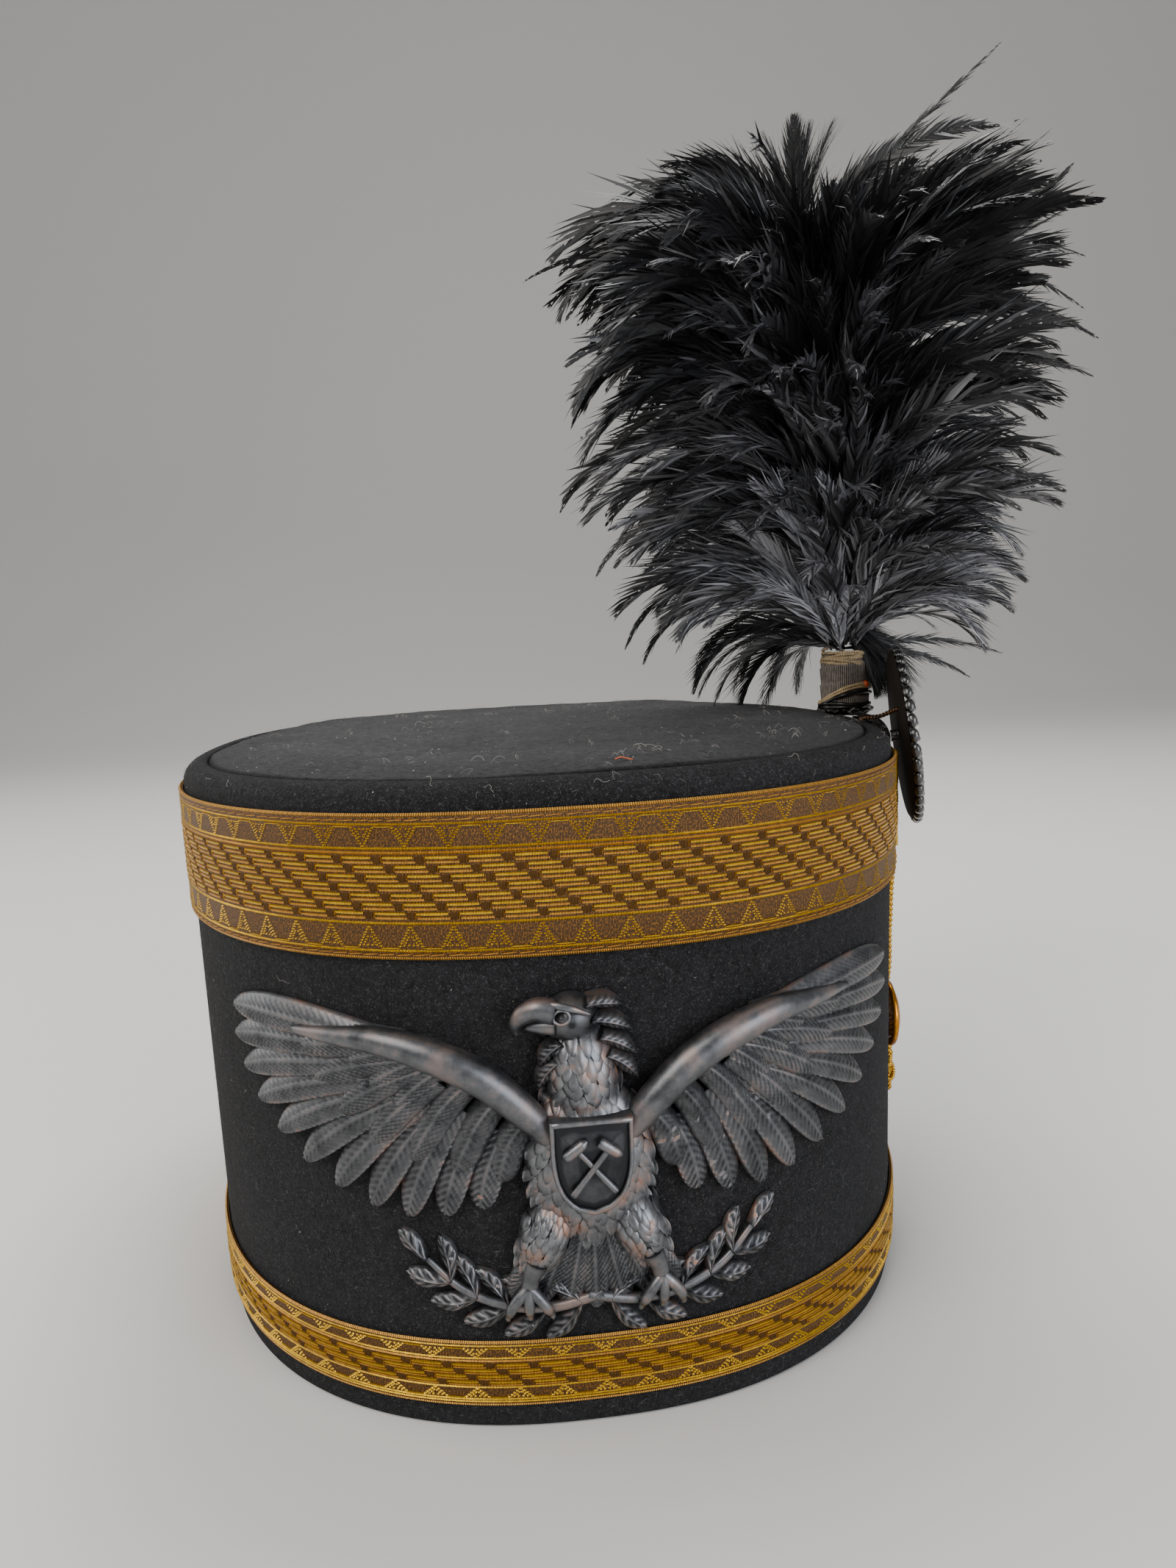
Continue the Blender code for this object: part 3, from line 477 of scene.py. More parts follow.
def crown_height(share, turns):
    """Height of the crown piece, in millimetres, by share of its size and turn: a slight
    dome, an edge that drops into the seam, slow sines round it, and tucks at the edge
    where the seam draws it in."""
    dome = 133.3 + 0.5 * (1 - share**2) - 1.3 * np.clip((share - 0.88) / 0.12, 0, 1) ** 2
    roll = -1.3 * np.clip((share - 0.991) / 0.009, 0, 1) ** 1.5
    slow = 0.42 * np.cos(5 * turns + 0.6) + 0.25 * np.sin(8 * turns) + 0.16 * np.sin(13 * turns + 1.0)
    tucks = 0.10 * np.sin(46 * turns + 2 * np.sin(3 * turns)) * np.clip((share - 0.86) / 0.10, 0, 1)
    dents = 0.30 * np.sin(9 * share + 2 * turns) * np.sin(3 * turns + 4 * share) * share * (1 - share**6)
    tucks = tucks * (1 - np.clip((share - 0.98) / 0.02, 0, 1))
    return dome + roll + slow * share**3 * (1 - 0.5 * share**8) + tucks + dents


def make_crown(settings):
    """The crown piece: rings of its outline from the middle out, domed and puckered,
    closed by a flat under side, with whip stitches over the seam."""
    along = np.linspace(ARC_LENGTHS[0], ARC_LENGTHS[-1], ROUND_STEPS, endpoint=False)
    turns = np.interp(along, ARC_LENGTHS, ARC_TURNS)
    spans = ((0.02, 0.86, 22), (0.88, 0.98, 10), (0.984, 1.0, 7))  # closer towards the edge
    shares = np.concatenate([np.linspace(*span) for span in spans])
    edge = oval_points(turns, HAT_HEIGHT, CROWN_EDGE) - HAT_CENTRE
    top = edge * (1.0, 1.0, 0.0) * shares[:, None, None]
    top[..., 2] = crown_height(shares[:, None], turns) * MM
    under = top[::-1][[0, -1]].copy()
    under[..., 2] = LEDGE_TOP + 0.0003
    shape = Surfaces()
    # Painted shade: the tone is 0 in the seam, which turns the felt black there, and a little lower where
    # the crown rolls down to it.
    tone = 0.5 * np.clip((0.9965 - shares) / 0.012, 0, 1) * (0.6 + 0.4 * np.clip((1 - shares) / 0.22, 0, 1))
    tone = np.append(tone, (0.0, 0.0))[None, :, None]
    shape.rods(np.concatenate([top, under]) + HAT_CENTRE, tone=tone)
    # Painted light: the crown's nap colour is lighter than the wall's, standing in for top light and grazing
    # sheen on the same felt.
    felt = napped_felt("Napped top felt", settings, settings.nap_colour, sheen=0.55)
    shape.piece("top_felt", "felt", [felt], ["crown_top"], sharp=60.0)

    # Each stitch dips over the seam in a half sine, and slants a little along it.
    rng = np.random.default_rng(11)
    along = np.linspace(ARC_LENGTHS[0], ARC_LENGTHS[-1], STITCHES, endpoint=False)
    along += rng.uniform(-0.5, 0.5, STITCHES)
    step = np.linspace(0.0, 1.0, 7)
    flat = np.empty((STITCHES, len(step), 3))
    flat[..., 0] = along[:, None] + 1.1 * step
    flat[..., 1] = HAT_HEIGHT / MM - 0.1 - 1.0 * np.sin(math.pi * step)
    flat[..., 2] = 1.5 - SEAM_INSET / MM - 3.2 * step
    stitches = Surfaces()
    stitches.rods(tube_grid(on_wall(flat), STITCH_RADIUS, 6), tone=rng.random(STITCHES))
    thread = toned("Black linen thread", linear("#0e0e0f"), linear("#29292a"), Roughness=0.7)
    stitches.piece("seam_stitches", "felt", [thread])


def fuzz_spots(rng, count):
    """Random spots on the visible felt of the wall and rim, and the way out of it."""
    # Bands of bare felt: from and to these heights in millimetres, and their share.
    lows, highs, weights = np.array(((2.2, 5.4, 0.05), (20.1, 98.2, 0.80), (127.0, 131.6, 0.15))).T
    which = rng.choice(len(weights), count, p=weights / weights.sum())
    flat = np.empty((count, 3))
    flat[:, 0] = rng.uniform(ARC_LENGTHS[0], ARC_LENGTHS[-1], count)
    flat[:, 1] = rng.uniform(lows[which], highs[which])
    rim = RIM_ROUND / MM
    over = np.clip((flat[:, 1] - (HAT_HEIGHT - RIM_ROUND) / MM) / rim, 0, 1)
    flat[:, 2] = felt_waves(flat[:, 0], flat[:, 1]) - rim * (1 - np.sqrt(1 - over**2))
    spot = on_wall(flat)
    out = unit(on_wall(flat + (0, 0, 1)) - spot) * np.sqrt(1 - over**2)[:, None] + np.outer(over, (0, 0, 1))
    return spot, unit(out)


def crown_spots(rng, count, low=0.0):
    """Random spots on the crown, from the share low of its size outwards, and the way
    out of it."""
    turns = rng.uniform(0, 2 * math.pi, count)
    share = np.sqrt(rng.uniform(low**2, 0.985, count))
    edge = oval_points(turns, HAT_HEIGHT, CROWN_EDGE) - HAT_CENTRE
    spot = edge * (1.0, 1.0, 0.0) * share[:, None] + HAT_CENTRE
    spot[:, 2] = crown_height(share, turns) * MM
    return spot, np.broadcast_to((0.0, 0.0, 1.0), spot.shape)


def hair_paths(rng, spot, out, length, rise, curl, steps):
    """Loose hairs that start and end in the surface: a path whose heading drifts as a
    random walk in the surface's plane while it lifts by a half sine."""
    count = len(spot)
    first = unit(np.cross(out, rng.normal(size=(count, 3))))
    second = np.cross(out, first)
    heading = np.cumsum(rng.normal(0, curl, (count, steps)), axis=1)
    step = (length / steps)[:, None]
    x = np.cumsum(np.cos(heading) * step, axis=1)
    y = np.cumsum(np.sin(heading) * step, axis=1)
    z = rise[:, None] * np.sin(math.pi * np.linspace(0.04, 0.96, steps)) + 0.00003
    return (spot[:, None] + x[..., None] * first[:, None] + y[..., None] * second[:, None]
            + z[..., None] * out[:, None])


def ribbon_grid(path, half_width, out):
    """Flat strips along paths: two points per step, half_width to either side."""
    side = path_frames(path, out)[1] * np.asarray(half_width)[..., None]
    return np.stack([path - side, path + side], axis=-2)


def make_felt_hairs(settings):
    """The felt's loose hairs as thin curved strips, and the lint and dust on the crown
    and rim as curly bars."""
    rng = np.random.default_rng(5)
    hairs = Surfaces()
    for spots, count in ((fuzz_spots, settings.wall_hairs), (crown_spots, settings.crown_hairs)):
        spot, out = spots(rng, count)
        length = rng.uniform(0.8, 2.6, count) * MM
        rise = rng.uniform(0.05, 0.40, count) * MM
        taper = np.array((1.0, 1.0, 0.8, 0.2))
        paths = hair_paths(rng, spot, out, length, rise, 0.45, len(taper))
        lean = unit(out + rng.normal(0, 0.7, out.shape))
        hairs.add(ribbon_grid(paths, HAIR_HALF_WIDTH * taper, lean[:, None]), tone=rng.random(count) ** 3)
    wool = toned("Loose wool hair", settings.felt_colour, linear("#7d7d7f"), Roughness=0.8)
    hairs.piece("felt_hairs", "felt", [wool])

    # Lint gathers in tufts on the crown and along its seam, and there is a little on the wall.
    wall, way = fuzz_spots(rng, 900)
    on_rim = np.flatnonzero(wall[:, 2] > HAT_HEIGHT - 0.0015)[:RIM_LINT]
    low_down = np.flatnonzero(wall[:, 2] < 0.1)[:WALL_LINT]
    tufts, up = (np.repeat(part, TUFT, axis=0) for part in crown_spots(rng, settings.lint_count // TUFT))
    tufts = tufts + rng.normal(0, 0.0022, tufts.shape) * (1, 1, 0)
    edge, edge_up = crown_spots(rng, SEAM_LINT, 0.86)
    spot = np.concatenate([wall[on_rim], wall[low_down], edge, tufts])
    out = np.concatenate([way[on_rim], way[low_down], edge_up, up])
    count = len(spot)
    length, rise = rng.uniform(1.5, 5.0, count) * MM, rng.uniform(0.3, 1.2, count) * MM
    paths = hair_paths(rng, spot, out, length, rise, 0.84, 12)
    brightest = np.where(np.arange(count) < RIM_LINT + WALL_LINT + SEAM_LINT, 0.6, 0.85)
    lint = Surfaces()
    lint.rods(tube_grid(paths, LINT_RADIUS, 3, SLANT), tone=rng.random(count) * brightest)
    spots = zip(crown_spots(rng, settings.specks), fuzz_spots(rng, WALL_SPECKS))
    spot, out = (np.concatenate(both) for both in spots)
    count = len(spot)
    length = rng.uniform(0.2, 0.7, count) * MM
    paths = hair_paths(rng, spot, out, length, np.full(count, 0.1 * MM), 0.5, 4)
    lint.rods(tube_grid(paths, SPECK_RADIUS, 3, SLANT), tone=rng.random(count) ** 2)
    step = np.linspace(0, 1, 14)
    fibre = HAT_CENTRE + FIBRE_START + step[:, None] * FIBRE_RUN
    fibre[:, 2] += 0.0003 * np.sin(5 * step)
    lint.rods(tube_grid(fibre, FIBRE_RADIUS, 4, (0.0, 1.0, 0.2)), kind=1)
    white = toned("White lint", linear("#77736d"), linear("#dad4c9"), Roughness=0.8)
    orange = toned("Orange fibre", linear("#b5512a"), linear("#d0693a"), Roughness=0.8)
    lint.piece("lint", "felt", [white, orange])


# ---------------------------------------------------------------- gold lace

SILK, GOLD, PALE, SELVAGE, BLOCK = range(5)  # numbers of the lace's materials on its pieces

# Both laces from the top edge down, in millimetres. Cords are (depth, radius, ridge),
# where the ridge is the distance between the turns of wound thread. Lines and strips are
# (depth, radius), stitches (depth, half height), and ties are depths. Rows are (depth of
# the first bar, rows, pitch of rows, half height of a bar). Borders are (depth of the
# triangles' apex, of their base, dashes high).
UPPER_LACE = {
    "top": 126.7, "height": 28.2, "repeats": 76,
    "cords": ((0.42, 0.44, 0.70), (27.80, 0.40, 0.70)),
    "stitches": ((1.28, 0.14), (27.12, 0.14)),
    "lines": ((2.05, 0.21), (6.66, 0.27), (21.05, 0.27), (26.38, 0.24)),
    "strips": ((7.50, 0.28),),
    "rows": (8.36, 7, 1.80, 0.36),
    "borders": ((6.15, 2.75, 8), (21.75, 25.45, 8)),
    "ties": (2.50, 25.85),
}
LOWER_LACE = {
    "top": 19.8, "height": 14.2, "repeats": 72,
    "cords": ((0.36, 0.38, 0.70), (13.80, 0.38, 0.70)),
    "stitches": (),
    "lines": ((0.95, 0.17), (3.62, 0.20), (9.95, 0.20), (12.55, 0.20), (13.10, 0.20)),
    "strips": ((4.22, 0.22),),
    "rows": (4.98, 4, 1.24, 0.26),
    "borders": ((3.30, 1.55, 5), (10.25, 12.00, 5)),
    "ties": (1.42, 12.18),
}
SILK_FACE = 1.10  # how far the ground stands off the wall, in millimetres
ROW_SHIFT = 0.286  # of the pitch: each row starts this much further along than the last
RIB = 0.29  # between the ribs that every thread of the lace shows, in millimetres
LINE_RIDGE = 2.6  # between the turns of the thread round a line
STITCH_PITCH = 3.3
BORDER_START = 1.5  # of the first triangle, along the wall from the front


def silk_ground(name, dark, light):
    """Woven silk and metal ground: upright ribs with orange flecks of gilt thread that
    come and go from rib to rib, so that it glitters golden brown. The hollows between
    the ribs are darkened as painted shade."""
    made, tree, shader = blank_material(name, Roughness=0.5, Specular_IOR_Level=0.4, Metallic=0.25)
    flow = node(tree, "ShaderNodeUVMap", uv_map="flow")
    parts = node(tree, "ShaderNodeSeparateXYZ", {0: flow})
    turn = node(tree, "ShaderNodeMath", {0: parts, 1: 2 * math.pi / RIB}, operation="MULTIPLY")
    wave = node(tree, "ShaderNodeMath", {0: turn}, operation="SINE")
    rib = node(tree, "ShaderNodeMapRange", {0: wave, 1: -1.0, 2: 1.0, 3: 0.25})
    # Flecks are one rib wide and a little taller.
    cells = node(tree, "ShaderNodeVectorMath", {0: flow, 1: (1 / RIB, 0.55 / RIB, 1.0)},
                 operation="MULTIPLY")
    fleck = node(tree, "ShaderNodeTexNoise", {"Vector": cells, "Scale": 1.0, "Detail": 1.0})
    lit = node(tree, "ShaderNodeMapRange", {0: fleck, 1: 0.44, 2: 0.70, 3: 0.10})
    # Painted shade: the flecks' colour is multiplied by the rib's wave, so it darkens in the hollows between
    # ribs.
    share = node(tree, "ShaderNodeMath", {0: rib, 1: lit}, operation="MULTIPLY")
    mixed = node(tree, "ShaderNodeMix", {0: share, 6: rgba(dark), 7: rgba(light)}, data_type="RGBA")
    bump = node(tree, "ShaderNodeBump", {"Height": rib, "Strength": 0.8, "Distance": 0.00008})
    feed(shader, {"Base Color": mixed.outputs[2], "Normal": bump})
    return made


def lace_materials(settings):
    """Golden brown ground, bright metal thread, paler pinkish thread, tan selvage, and
    dark silk blocks. Metal thread is gilt wire wound on silk: it glints, and its
    grooves are painted dark as shade and its crests bright as highlight."""
    silk = silk_ground("Brown silk ground", linear("#2c1a04"), settings.silk_colour)
    gold = wound_thread("Gilt metal thread", linear("#704200"), settings.gold_colour, RIB,
                        Metallic=0.65, Roughness=0.26)
    pale = wound_thread("Pale metal thread", linear("#3a2004"), settings.pale_colour, RIB,
                        Metallic=0.50, Roughness=0.32)
    tan = wound_thread("Tan selvage thread", linear("#5d3a10"), settings.selvage_colour, 0.44,
                       Metallic=0.5, Roughness=0.40)
    block = wound_thread("Dark silk block", linear("#241404"), settings.block_colour, RIB, depth=0.00009,
                         Roughness=0.7, Specular_IOR_Level=0.15)
    return [silk, gold, pale, tan, block]


def wound_cord(depth, radius, ridge, top, face):
    """A wound cord round the hat: a bar whose radius follows a cosine along it, one wave
    for each turn of thread, slanted by about a sixth of a turn."""
    waves = round(ROUND / ridge)
    steps, around = waves * 2, 4
    share = np.arange(steps) / steps
    turns = full_turn(around)
    size = radius * (1 + 0.12 * np.cos(2 * math.pi * waves * share[:, None] + np.cos(turns)))
    flat = np.empty((steps, around, 3))
    flat[..., 0] = (ARC_LENGTHS[0] + ROUND * share)[:, None]
    flat[..., 1] = top - depth + size * np.cos(turns)
    flat[..., 2] = face + size * np.sin(turns)
    along = np.linspace(ARC_LENGTHS[0], ARC_LENGTHS[-1], steps + 1)
    return flat, lattice(along, np.linspace(0, 6 * radius, around + 1))


def triangle_dashes(apex, base, rows, repeats, first, pitch):
    """Spots and half lengths of the woven dashes of a row of stepped triangles: two
    sloping sides, pairs of columns inside that start further down, and at the base a
    long dash from one triangle to the next."""
    rise = np.arange(rows) / (rows - 1)
    half = 0.12 + 0.25 * pitch * rise
    dash = np.full(rows, 0.34)
    spots = [np.stack([sign * half, rise, dash], -1) for sign in (-1, 1)]
    for inwards in (0.40, 0.78):
        inner = half > inwards * half[-1] + 0.20
        spots += [np.stack([sign * (half - inwards * half[-1]), rise - 0.4 / rows, 0.8 * dash], -1)[inner]
                  for sign in (-1, 1)]
    spots = np.concatenate(spots)
    places = first + pitch * np.arange(repeats)
    along = (places[:, None] + spots[:, 0]).ravel()
    depth = np.tile(apex + (base - apex) * spots[:, 1], repeats)
    return along, depth, np.tile(spots[:, 2], repeats)


def make_lace(name, stands_for, lace, materials, rng):
    """One band of lace: a silk ground round the hat, rows of thread bars in steps with
    paler bars between them and dark blocks at their ends, lines, triangles of dashes,
    slanted stitches and wound edges, all standing on the ground."""
    top, low, repeats = lace["top"], lace["top"] - lace["height"], lace["repeats"]
    pitch = ROUND / repeats
    wave = 0.07 * rng.normal(size=repeats)
    rows_from, rows, gap, high = lace["rows"]

    ground = [(0.32, low + 0.3), (SILK_FACE - 0.2, low + 0.3)]
    ground += [(SILK_FACE, z) for z in np.linspace(low + 0.7, top - 0.7, 6)]
    ground += [(SILK_FACE - 0.2, top - 0.3), (0.32, top - 0.3)]
    flat, flow = swept(ground, 360)
    field = Surfaces()
    field.add(on_wall(flat), flow, SILK, wrap=(True, True))

    def bars(target, along, depth, half_long, half_high, rise, kind, **shape):
        """Adds thread bars to the target's surfaces."""
        spots = np.stack(np.broadcast_arrays(along, top - depth), -1)
        grid, flow = pillows(spots, half_long, half_high, SILK_FACE, rise, **shape)
        target.rods(on_wall(grid), flow, kind)

    row, column = lattice(np.arange(rows), np.arange(repeats)).reshape(-1, 2).T
    along = ARC_LENGTHS[0] + pitch * (column + ROW_SHIFT * row) + wave[column]
    depth = rows_from + gap * row + 0.02 * rng.normal(size=len(row))
    bars(field, along, depth, 0.368 * pitch, high, 0.40, GOLD, blunt=8.0)
    bars(field, along + 0.03 * pitch, depth + 0.5 * gap, 0.385 * pitch, 0.88 * high, 0.26, PALE, blunt=8.0)
    bars(field, along + 0.5 * pitch, depth + 0.25 * gap, 0.095 * pitch, 0.46 * gap, 0.16, BLOCK,
         rings=3, blunt=8.0)
    bars(field, along - 0.39 * pitch, depth + 0.18 * gap, 0.40 * gap, 0.15, 0.34, PALE,
         rings=3, turns=RIDGED, lean=math.pi / 2)
    edges = Surfaces()
    for target, kind, marks in ((field, PALE, lace["strips"]), (edges, GOLD, lace["lines"])):
        for depth, radius in marks:
            flat, flow = wound_cord(depth, radius, LINE_RIDGE, top, SILK_FACE)
            target.add(on_wall(flat), flow, kind, wrap=(True, True))
    field.piece(name + "_field", "gold_lace", materials, [stands_for], sharp=60.0)

    for depth, radius, ridge in lace["cords"]:
        flat, flow = wound_cord(depth, radius, ridge, top, SILK_FACE - 0.25)
        edges.add(on_wall(flat), flow, SELVAGE, wrap=(True, True))
    for depth, half_high in lace["stitches"]:
        count = round(ROUND / STITCH_PITCH)
        along = np.linspace(0, ROUND, count, endpoint=False) + 0.15 * rng.normal(size=count)
        bars(edges, along, depth, 1.5, half_high, 0.24, PALE, lean=0.07)
    for (apex, base, high), tie in zip(lace["borders"], lace["ties"]):
        along, depth, half = triangle_dashes(apex, base, high, repeats, BORDER_START, pitch)
        bars(edges, along, depth, half, 0.19, 0.32, GOLD, rings=3, turns=WEDGED, blunt=3.0)
        between = BORDER_START + pitch * (np.arange(repeats) + 0.5)
        bars(edges, between, tie, 0.23 * pitch, 0.14, 0.26, GOLD)
    edges.piece(name + "_edges", "gold_lace", materials, sharp=60.0)


def make_laces(settings):
    """Both bands of gold lace."""
    materials = lace_materials(settings)
    rng = np.random.default_rng(3)
    make_lace("upper_lace", "upper_galloon", UPPER_LACE, materials, rng)
    make_lace("lower_lace", "lower_galloon", LOWER_LACE, materials, rng)


# ---------------------------------------------------------------- the cast front plate

PLATE_BACK = 0.45  # how far the plate's back stands off the felt, in millimetres
BREAST = ((0.0, 58.0), (12.5, 17.0), 7.0, 0.0)  # domes: middle, half sizes, rise, lean
NECK = ((-0.8, 75.0), (7.0, 11.0), 6.2, 0.10)
HEAD = ((-2.6, 86.6), (5.5, 4.9), 6.2, 0.15)
SHIELD = ((0.0, 59.0), (7.6, 9.6))  # middle and half sizes
EYE = (-4.4, 88.2)
LAUREL = {"blunt": 1.4, "steps": 36, "rib": 0.35, "barb": 2.2, "taper": 0.8}  # its leaves


def cast_pewter(name, settings):
    """Cast white metal, blackened long ago: dark in its hollows, grey where hands have
    rubbed it, and coppery where the plating has worn from the sharpest edges."""
    made, tree, shader = blank_material(name, Metallic=0.88)
    place = node(tree, "ShaderNodeTexCoord").outputs["Object"]
    edge = node(tree, "ShaderNodeNewGeometry").outputs["Pointiness"]
    patches = node(tree, "ShaderNodeTexNoise",
                   {"Vector": place, "Scale": 160.0, "Detail": 5.0, "Roughness": 0.65})
    grain = node(tree, "ShaderNodeTexNoise", {"Vector": place, "Scale": 3500.0, "Detail": 3.0})
    rubbed = node(tree, "ShaderNodeMapRange", {0: edge, 1: 0.44, 2: 0.60})
    worn = node(tree, "ShaderNodeMath", {0: rubbed, 1: patches}, operation="MULTIPLY")
    share = node(tree, "ShaderNodeMapRange", {0: worn, 1: 0.10, 2: 0.52})
    grey = node(tree, "ShaderNodeMix", {0: share, 6: rgba(settings.hollow_colour),
                                        7: rgba(settings.pewter_colour)}, data_type="RGBA")
    bare = node(tree, "ShaderNodeMapRange", {0: patches, 1: 0.49, 2: 0.62, 4: 0.8})
    sharp = node(tree, "ShaderNodeMapRange", {0: edge, 1: 0.51, 2: 0.60})
    copper = node(tree, "ShaderNodeMath", {0: bare, 1: sharp}, operation="MULTIPLY")
    mixed = node(tree, "ShaderNodeMix", {0: copper, 6: grey.outputs[2],
                                         7: rgba(settings.copper_colour)}, data_type="RGBA")
    rough = node(tree, "ShaderNodeMapRange", {0: patches, 1: 0.3, 2: 0.7, 3: 0.30, 4: 0.50})
    bump = node(tree, "ShaderNodeBump", {"Height": grain, "Strength": 0.25, "Distance": 0.0001})
    feed(shader, {"Base Color": mixed.outputs[2], "Roughness": rough, "Normal": bump})
    return made


def on_plate(grid):
    """Lays flat relief on the wall. Nothing goes behind the plate's back."""
    grid = np.array(grid, float)
    grid[..., 2] = np.maximum(grid[..., 2], 0.0) + PLATE_BACK
    return on_wall(grid)


def vane(root, tip, half_width, rise, bow, tilt, barb, steps, blunt=2.2, rib=0.30, taper=0.25):
    """A feather or leaf in relief, in flat millimetres. Along its bowed midline the width
    follows (1 - s^n)^(1/n) towards the tip. Across it the height is a flat arch plus a
    narrow rib, plus slanting waves for the barbs, and tilt lifts one edge."""
    root, tip = np.array(root, float), np.array(tip, float)
    along = tip - root
    length = np.linalg.norm(along)
    along = along / length
    side = np.array((-along[1], along[0]))
    s = np.linspace(0.0, 0.995, steps)[:, None]
    a = np.linspace(-1.0, 1.0, 15)
    a = np.concatenate([[-1.0], np.sign(a) * np.abs(a) ** 1.2, [1.0]])  # closer near the rib
    middle = root + along * length * s + side * bow * length * 4 * s * (1 - s)
    ends = (1 - np.clip((s - 0.55) / 0.45, 0, 1) ** blunt) ** (1 / blunt)
    width = half_width * (1 - taper * (1 - s) ** 2) * ends
    arch = rise * (1 - 0.30 * s) * (0.45 + 0.55 * np.sqrt(ends))
    height = arch * (1 - 0.42 * np.abs(a) ** 2.4) + tilt * a * ends
    height = height + rib * np.exp(-((a / 0.13) ** 2)) * (1 - s**3)
    run = s * length - np.abs(a) * width * 1.3
    window = np.clip((np.abs(a) - 0.14) / 0.12, 0, 1) * np.clip((1.02 - np.abs(a)) / 0.12, 0, 1)
    height = height + 0.17 * np.sin(2 * math.pi * run / barb) * window * (s > 0.02)
    height[:, [0, -1]] = 0.0
    x = middle[:, :1] + side[0] * width * a
    y = middle[:, 1:] + side[1] * width * a
    return np.stack([x, y, height], -1)


def dome_height(spots, dome):
    """Height of a dome over flat spots: rise times the root of one minus the squared
    distance from its middle, measured in half sizes and turned by its lean."""
    (x, y), (half_x, half_y), rise, lean = dome
    dx, dy = spots[..., 0] - x, spots[..., 1] - y
    across = (dx * math.cos(lean) + dy * math.sin(lean)) / half_x
    along = (dy * math.cos(lean) - dx * math.sin(lean)) / half_y
    return rise * np.sqrt(np.clip(1 - across**2 - along**2, 0, None))


def dome_grid(dome, rows=14, around=36):
    """The dome itself, as rings from its foot to its crown."""
    (x, y), (half_x, half_y), rise, lean = dome
    level = np.linspace(0.0, math.pi / 2 - 0.03, rows)[:, None]
    turns = full_turn(around)
    across, along = half_x * np.cos(level) * np.cos(turns), half_y * np.cos(level) * np.sin(turns)
    return np.stack([x + across * math.cos(lean) - along * math.sin(lean),
                     y + across * math.sin(lean) + along * math.cos(lean),
                     np.broadcast_to(rise * np.sin(level), across.shape)], -1)


def scales(rng, domes, low, high, across, row_gap, length, width):
    """Small pointed feathers that lie on domes in offset rows, like tiles, each leaning
    a little at random. They point down, and their lower ends stand proud."""
    spots = []
    for k, y in enumerate(np.arange(low, high, row_gap)):
        x = np.arange(-across, across, width * 1.05) + (k % 2) * width * 0.52
        spots.append(np.stack([x, np.full(len(x), y)], -1))
    spots = np.concatenate(spots) + rng.normal(0, 0.22, (sum(map(len, spots)), 2))
    height = np.max([dome_height(spots, dome) for dome in domes], axis=0)
    spots, height = spots[height > 1.3], height[height > 1.3]
    count = len(spots)
    s = np.linspace(0.0, 1.0, 7)[:, None]
    turns = full_turn(7)
    size = np.sin(math.pi * np.clip(0.12 + 0.86 * s, 0, 1)) ** 0.6
    lean = rng.normal(0, 0.16, count) + 0.035 * spots[:, 0]
    grow = rng.uniform(0.85, 1.15, count)[:, None, None]
    along = -length * grow * (s - 0.3) + 0 * turns
    over = 0.5 * width * size * np.cos(turns) * grow
    lean = lean[:, None, None]
    x = spots[:, 0, None, None] + over * np.cos(lean) - along * np.sin(lean)
    y = spots[:, 1, None, None] + over * np.sin(lean) + along * np.cos(lean)
    base = np.max([dome_height(np.stack([x, y], -1), dome) for dome in domes], axis=0)
    base = np.maximum(base, height[:, None, None] - 1.1)
    z = base + 0.15 + 0.55 * s + 0.42 * size * np.sin(turns)
    return np.stack([x, y, z], -1)


def bar(points, radii, around, steps):
    """A round bar through flat points (x, y, z), with a radius at each, smoothed by a
    cubic through them."""
    points = np.array(points, float)
    run = run_along(points)
    t = np.linspace(0.0, run[-1], steps)
    return tube_grid(smooth_path(points, run, t), np.interp(t, run, radii), around)


def mirror_plate(grid):
    """The same relief on the other side of the plate."""
    return np.asarray(grid) * (-1.0, 1.0, 1.0)


def wing_parts():
    """One wing, on the +X side: long flights, a row of coverts and small lesser coverts,
    each from root to tip, and the smooth arm over their roots."""
    flights = (
        ((38, 82), (79, 84.5)), ((37, 80), (79.5, 78)), ((36, 78), (77, 71.5)), ((35, 76), (72.5, 65.5)),
        ((34, 74), (66.5, 60)), ((32, 73), (59.5, 55)), ((30, 72), (51.5, 51)), ((27, 71), (43.5, 48)),
        ((24, 70), (36, 46.5)), ((20, 68), (28.5, 47)), ((16, 65), (21.5, 48.5)),
    )
    coverts = (
        ((34, 82), (57, 80.2)), ((32, 80), (54, 74)), ((30, 78), (49, 67.5)), ((27, 76), (42.5, 61.5)),
        ((23, 74), (34, 58.5)), ((18, 70), (25.5, 56.5)), ((13, 66), (17.5, 54.5)),
    )
    lesser = (
        ((33, 82.5), (45.5, 78.5)), ((30, 80.5), (41.5, 73.8)), ((26.5, 78.5), (36.5, 69.5)),
        ((22, 75.5), (30, 66.0)), ((17.5, 71.5), (23, 62.5)), ((12.5, 67), (16.5, 60)),
    )
    parts = [vane(root, tip, 3.5, 2.7, 0.05, -0.75, barb=1.7, steps=88) for root, tip in flights]
    parts += [vane(root, tip, 3.5, 4.1, 0.05, -0.6, barb=1.5, steps=52) for root, tip in coverts]
    parts += [vane(root, tip, 3.1, 5.0, 0.04, -0.5, barb=1.3, steps=36) for root, tip in lesser]
    arm = ((6, 62.5, 3.6), (12, 69.5, 3.9), (20, 76.8, 4.1), (29, 81.4, 4.2), (38, 83.6, 3.9),
           (47, 83.6, 3.1), (58, 83.4, 2.4))
    parts.append(bar(arm, (2.2, 3.1, 3.4, 3.3, 2.7, 1.9, 0.7), around=16, steps=50))
    return parts


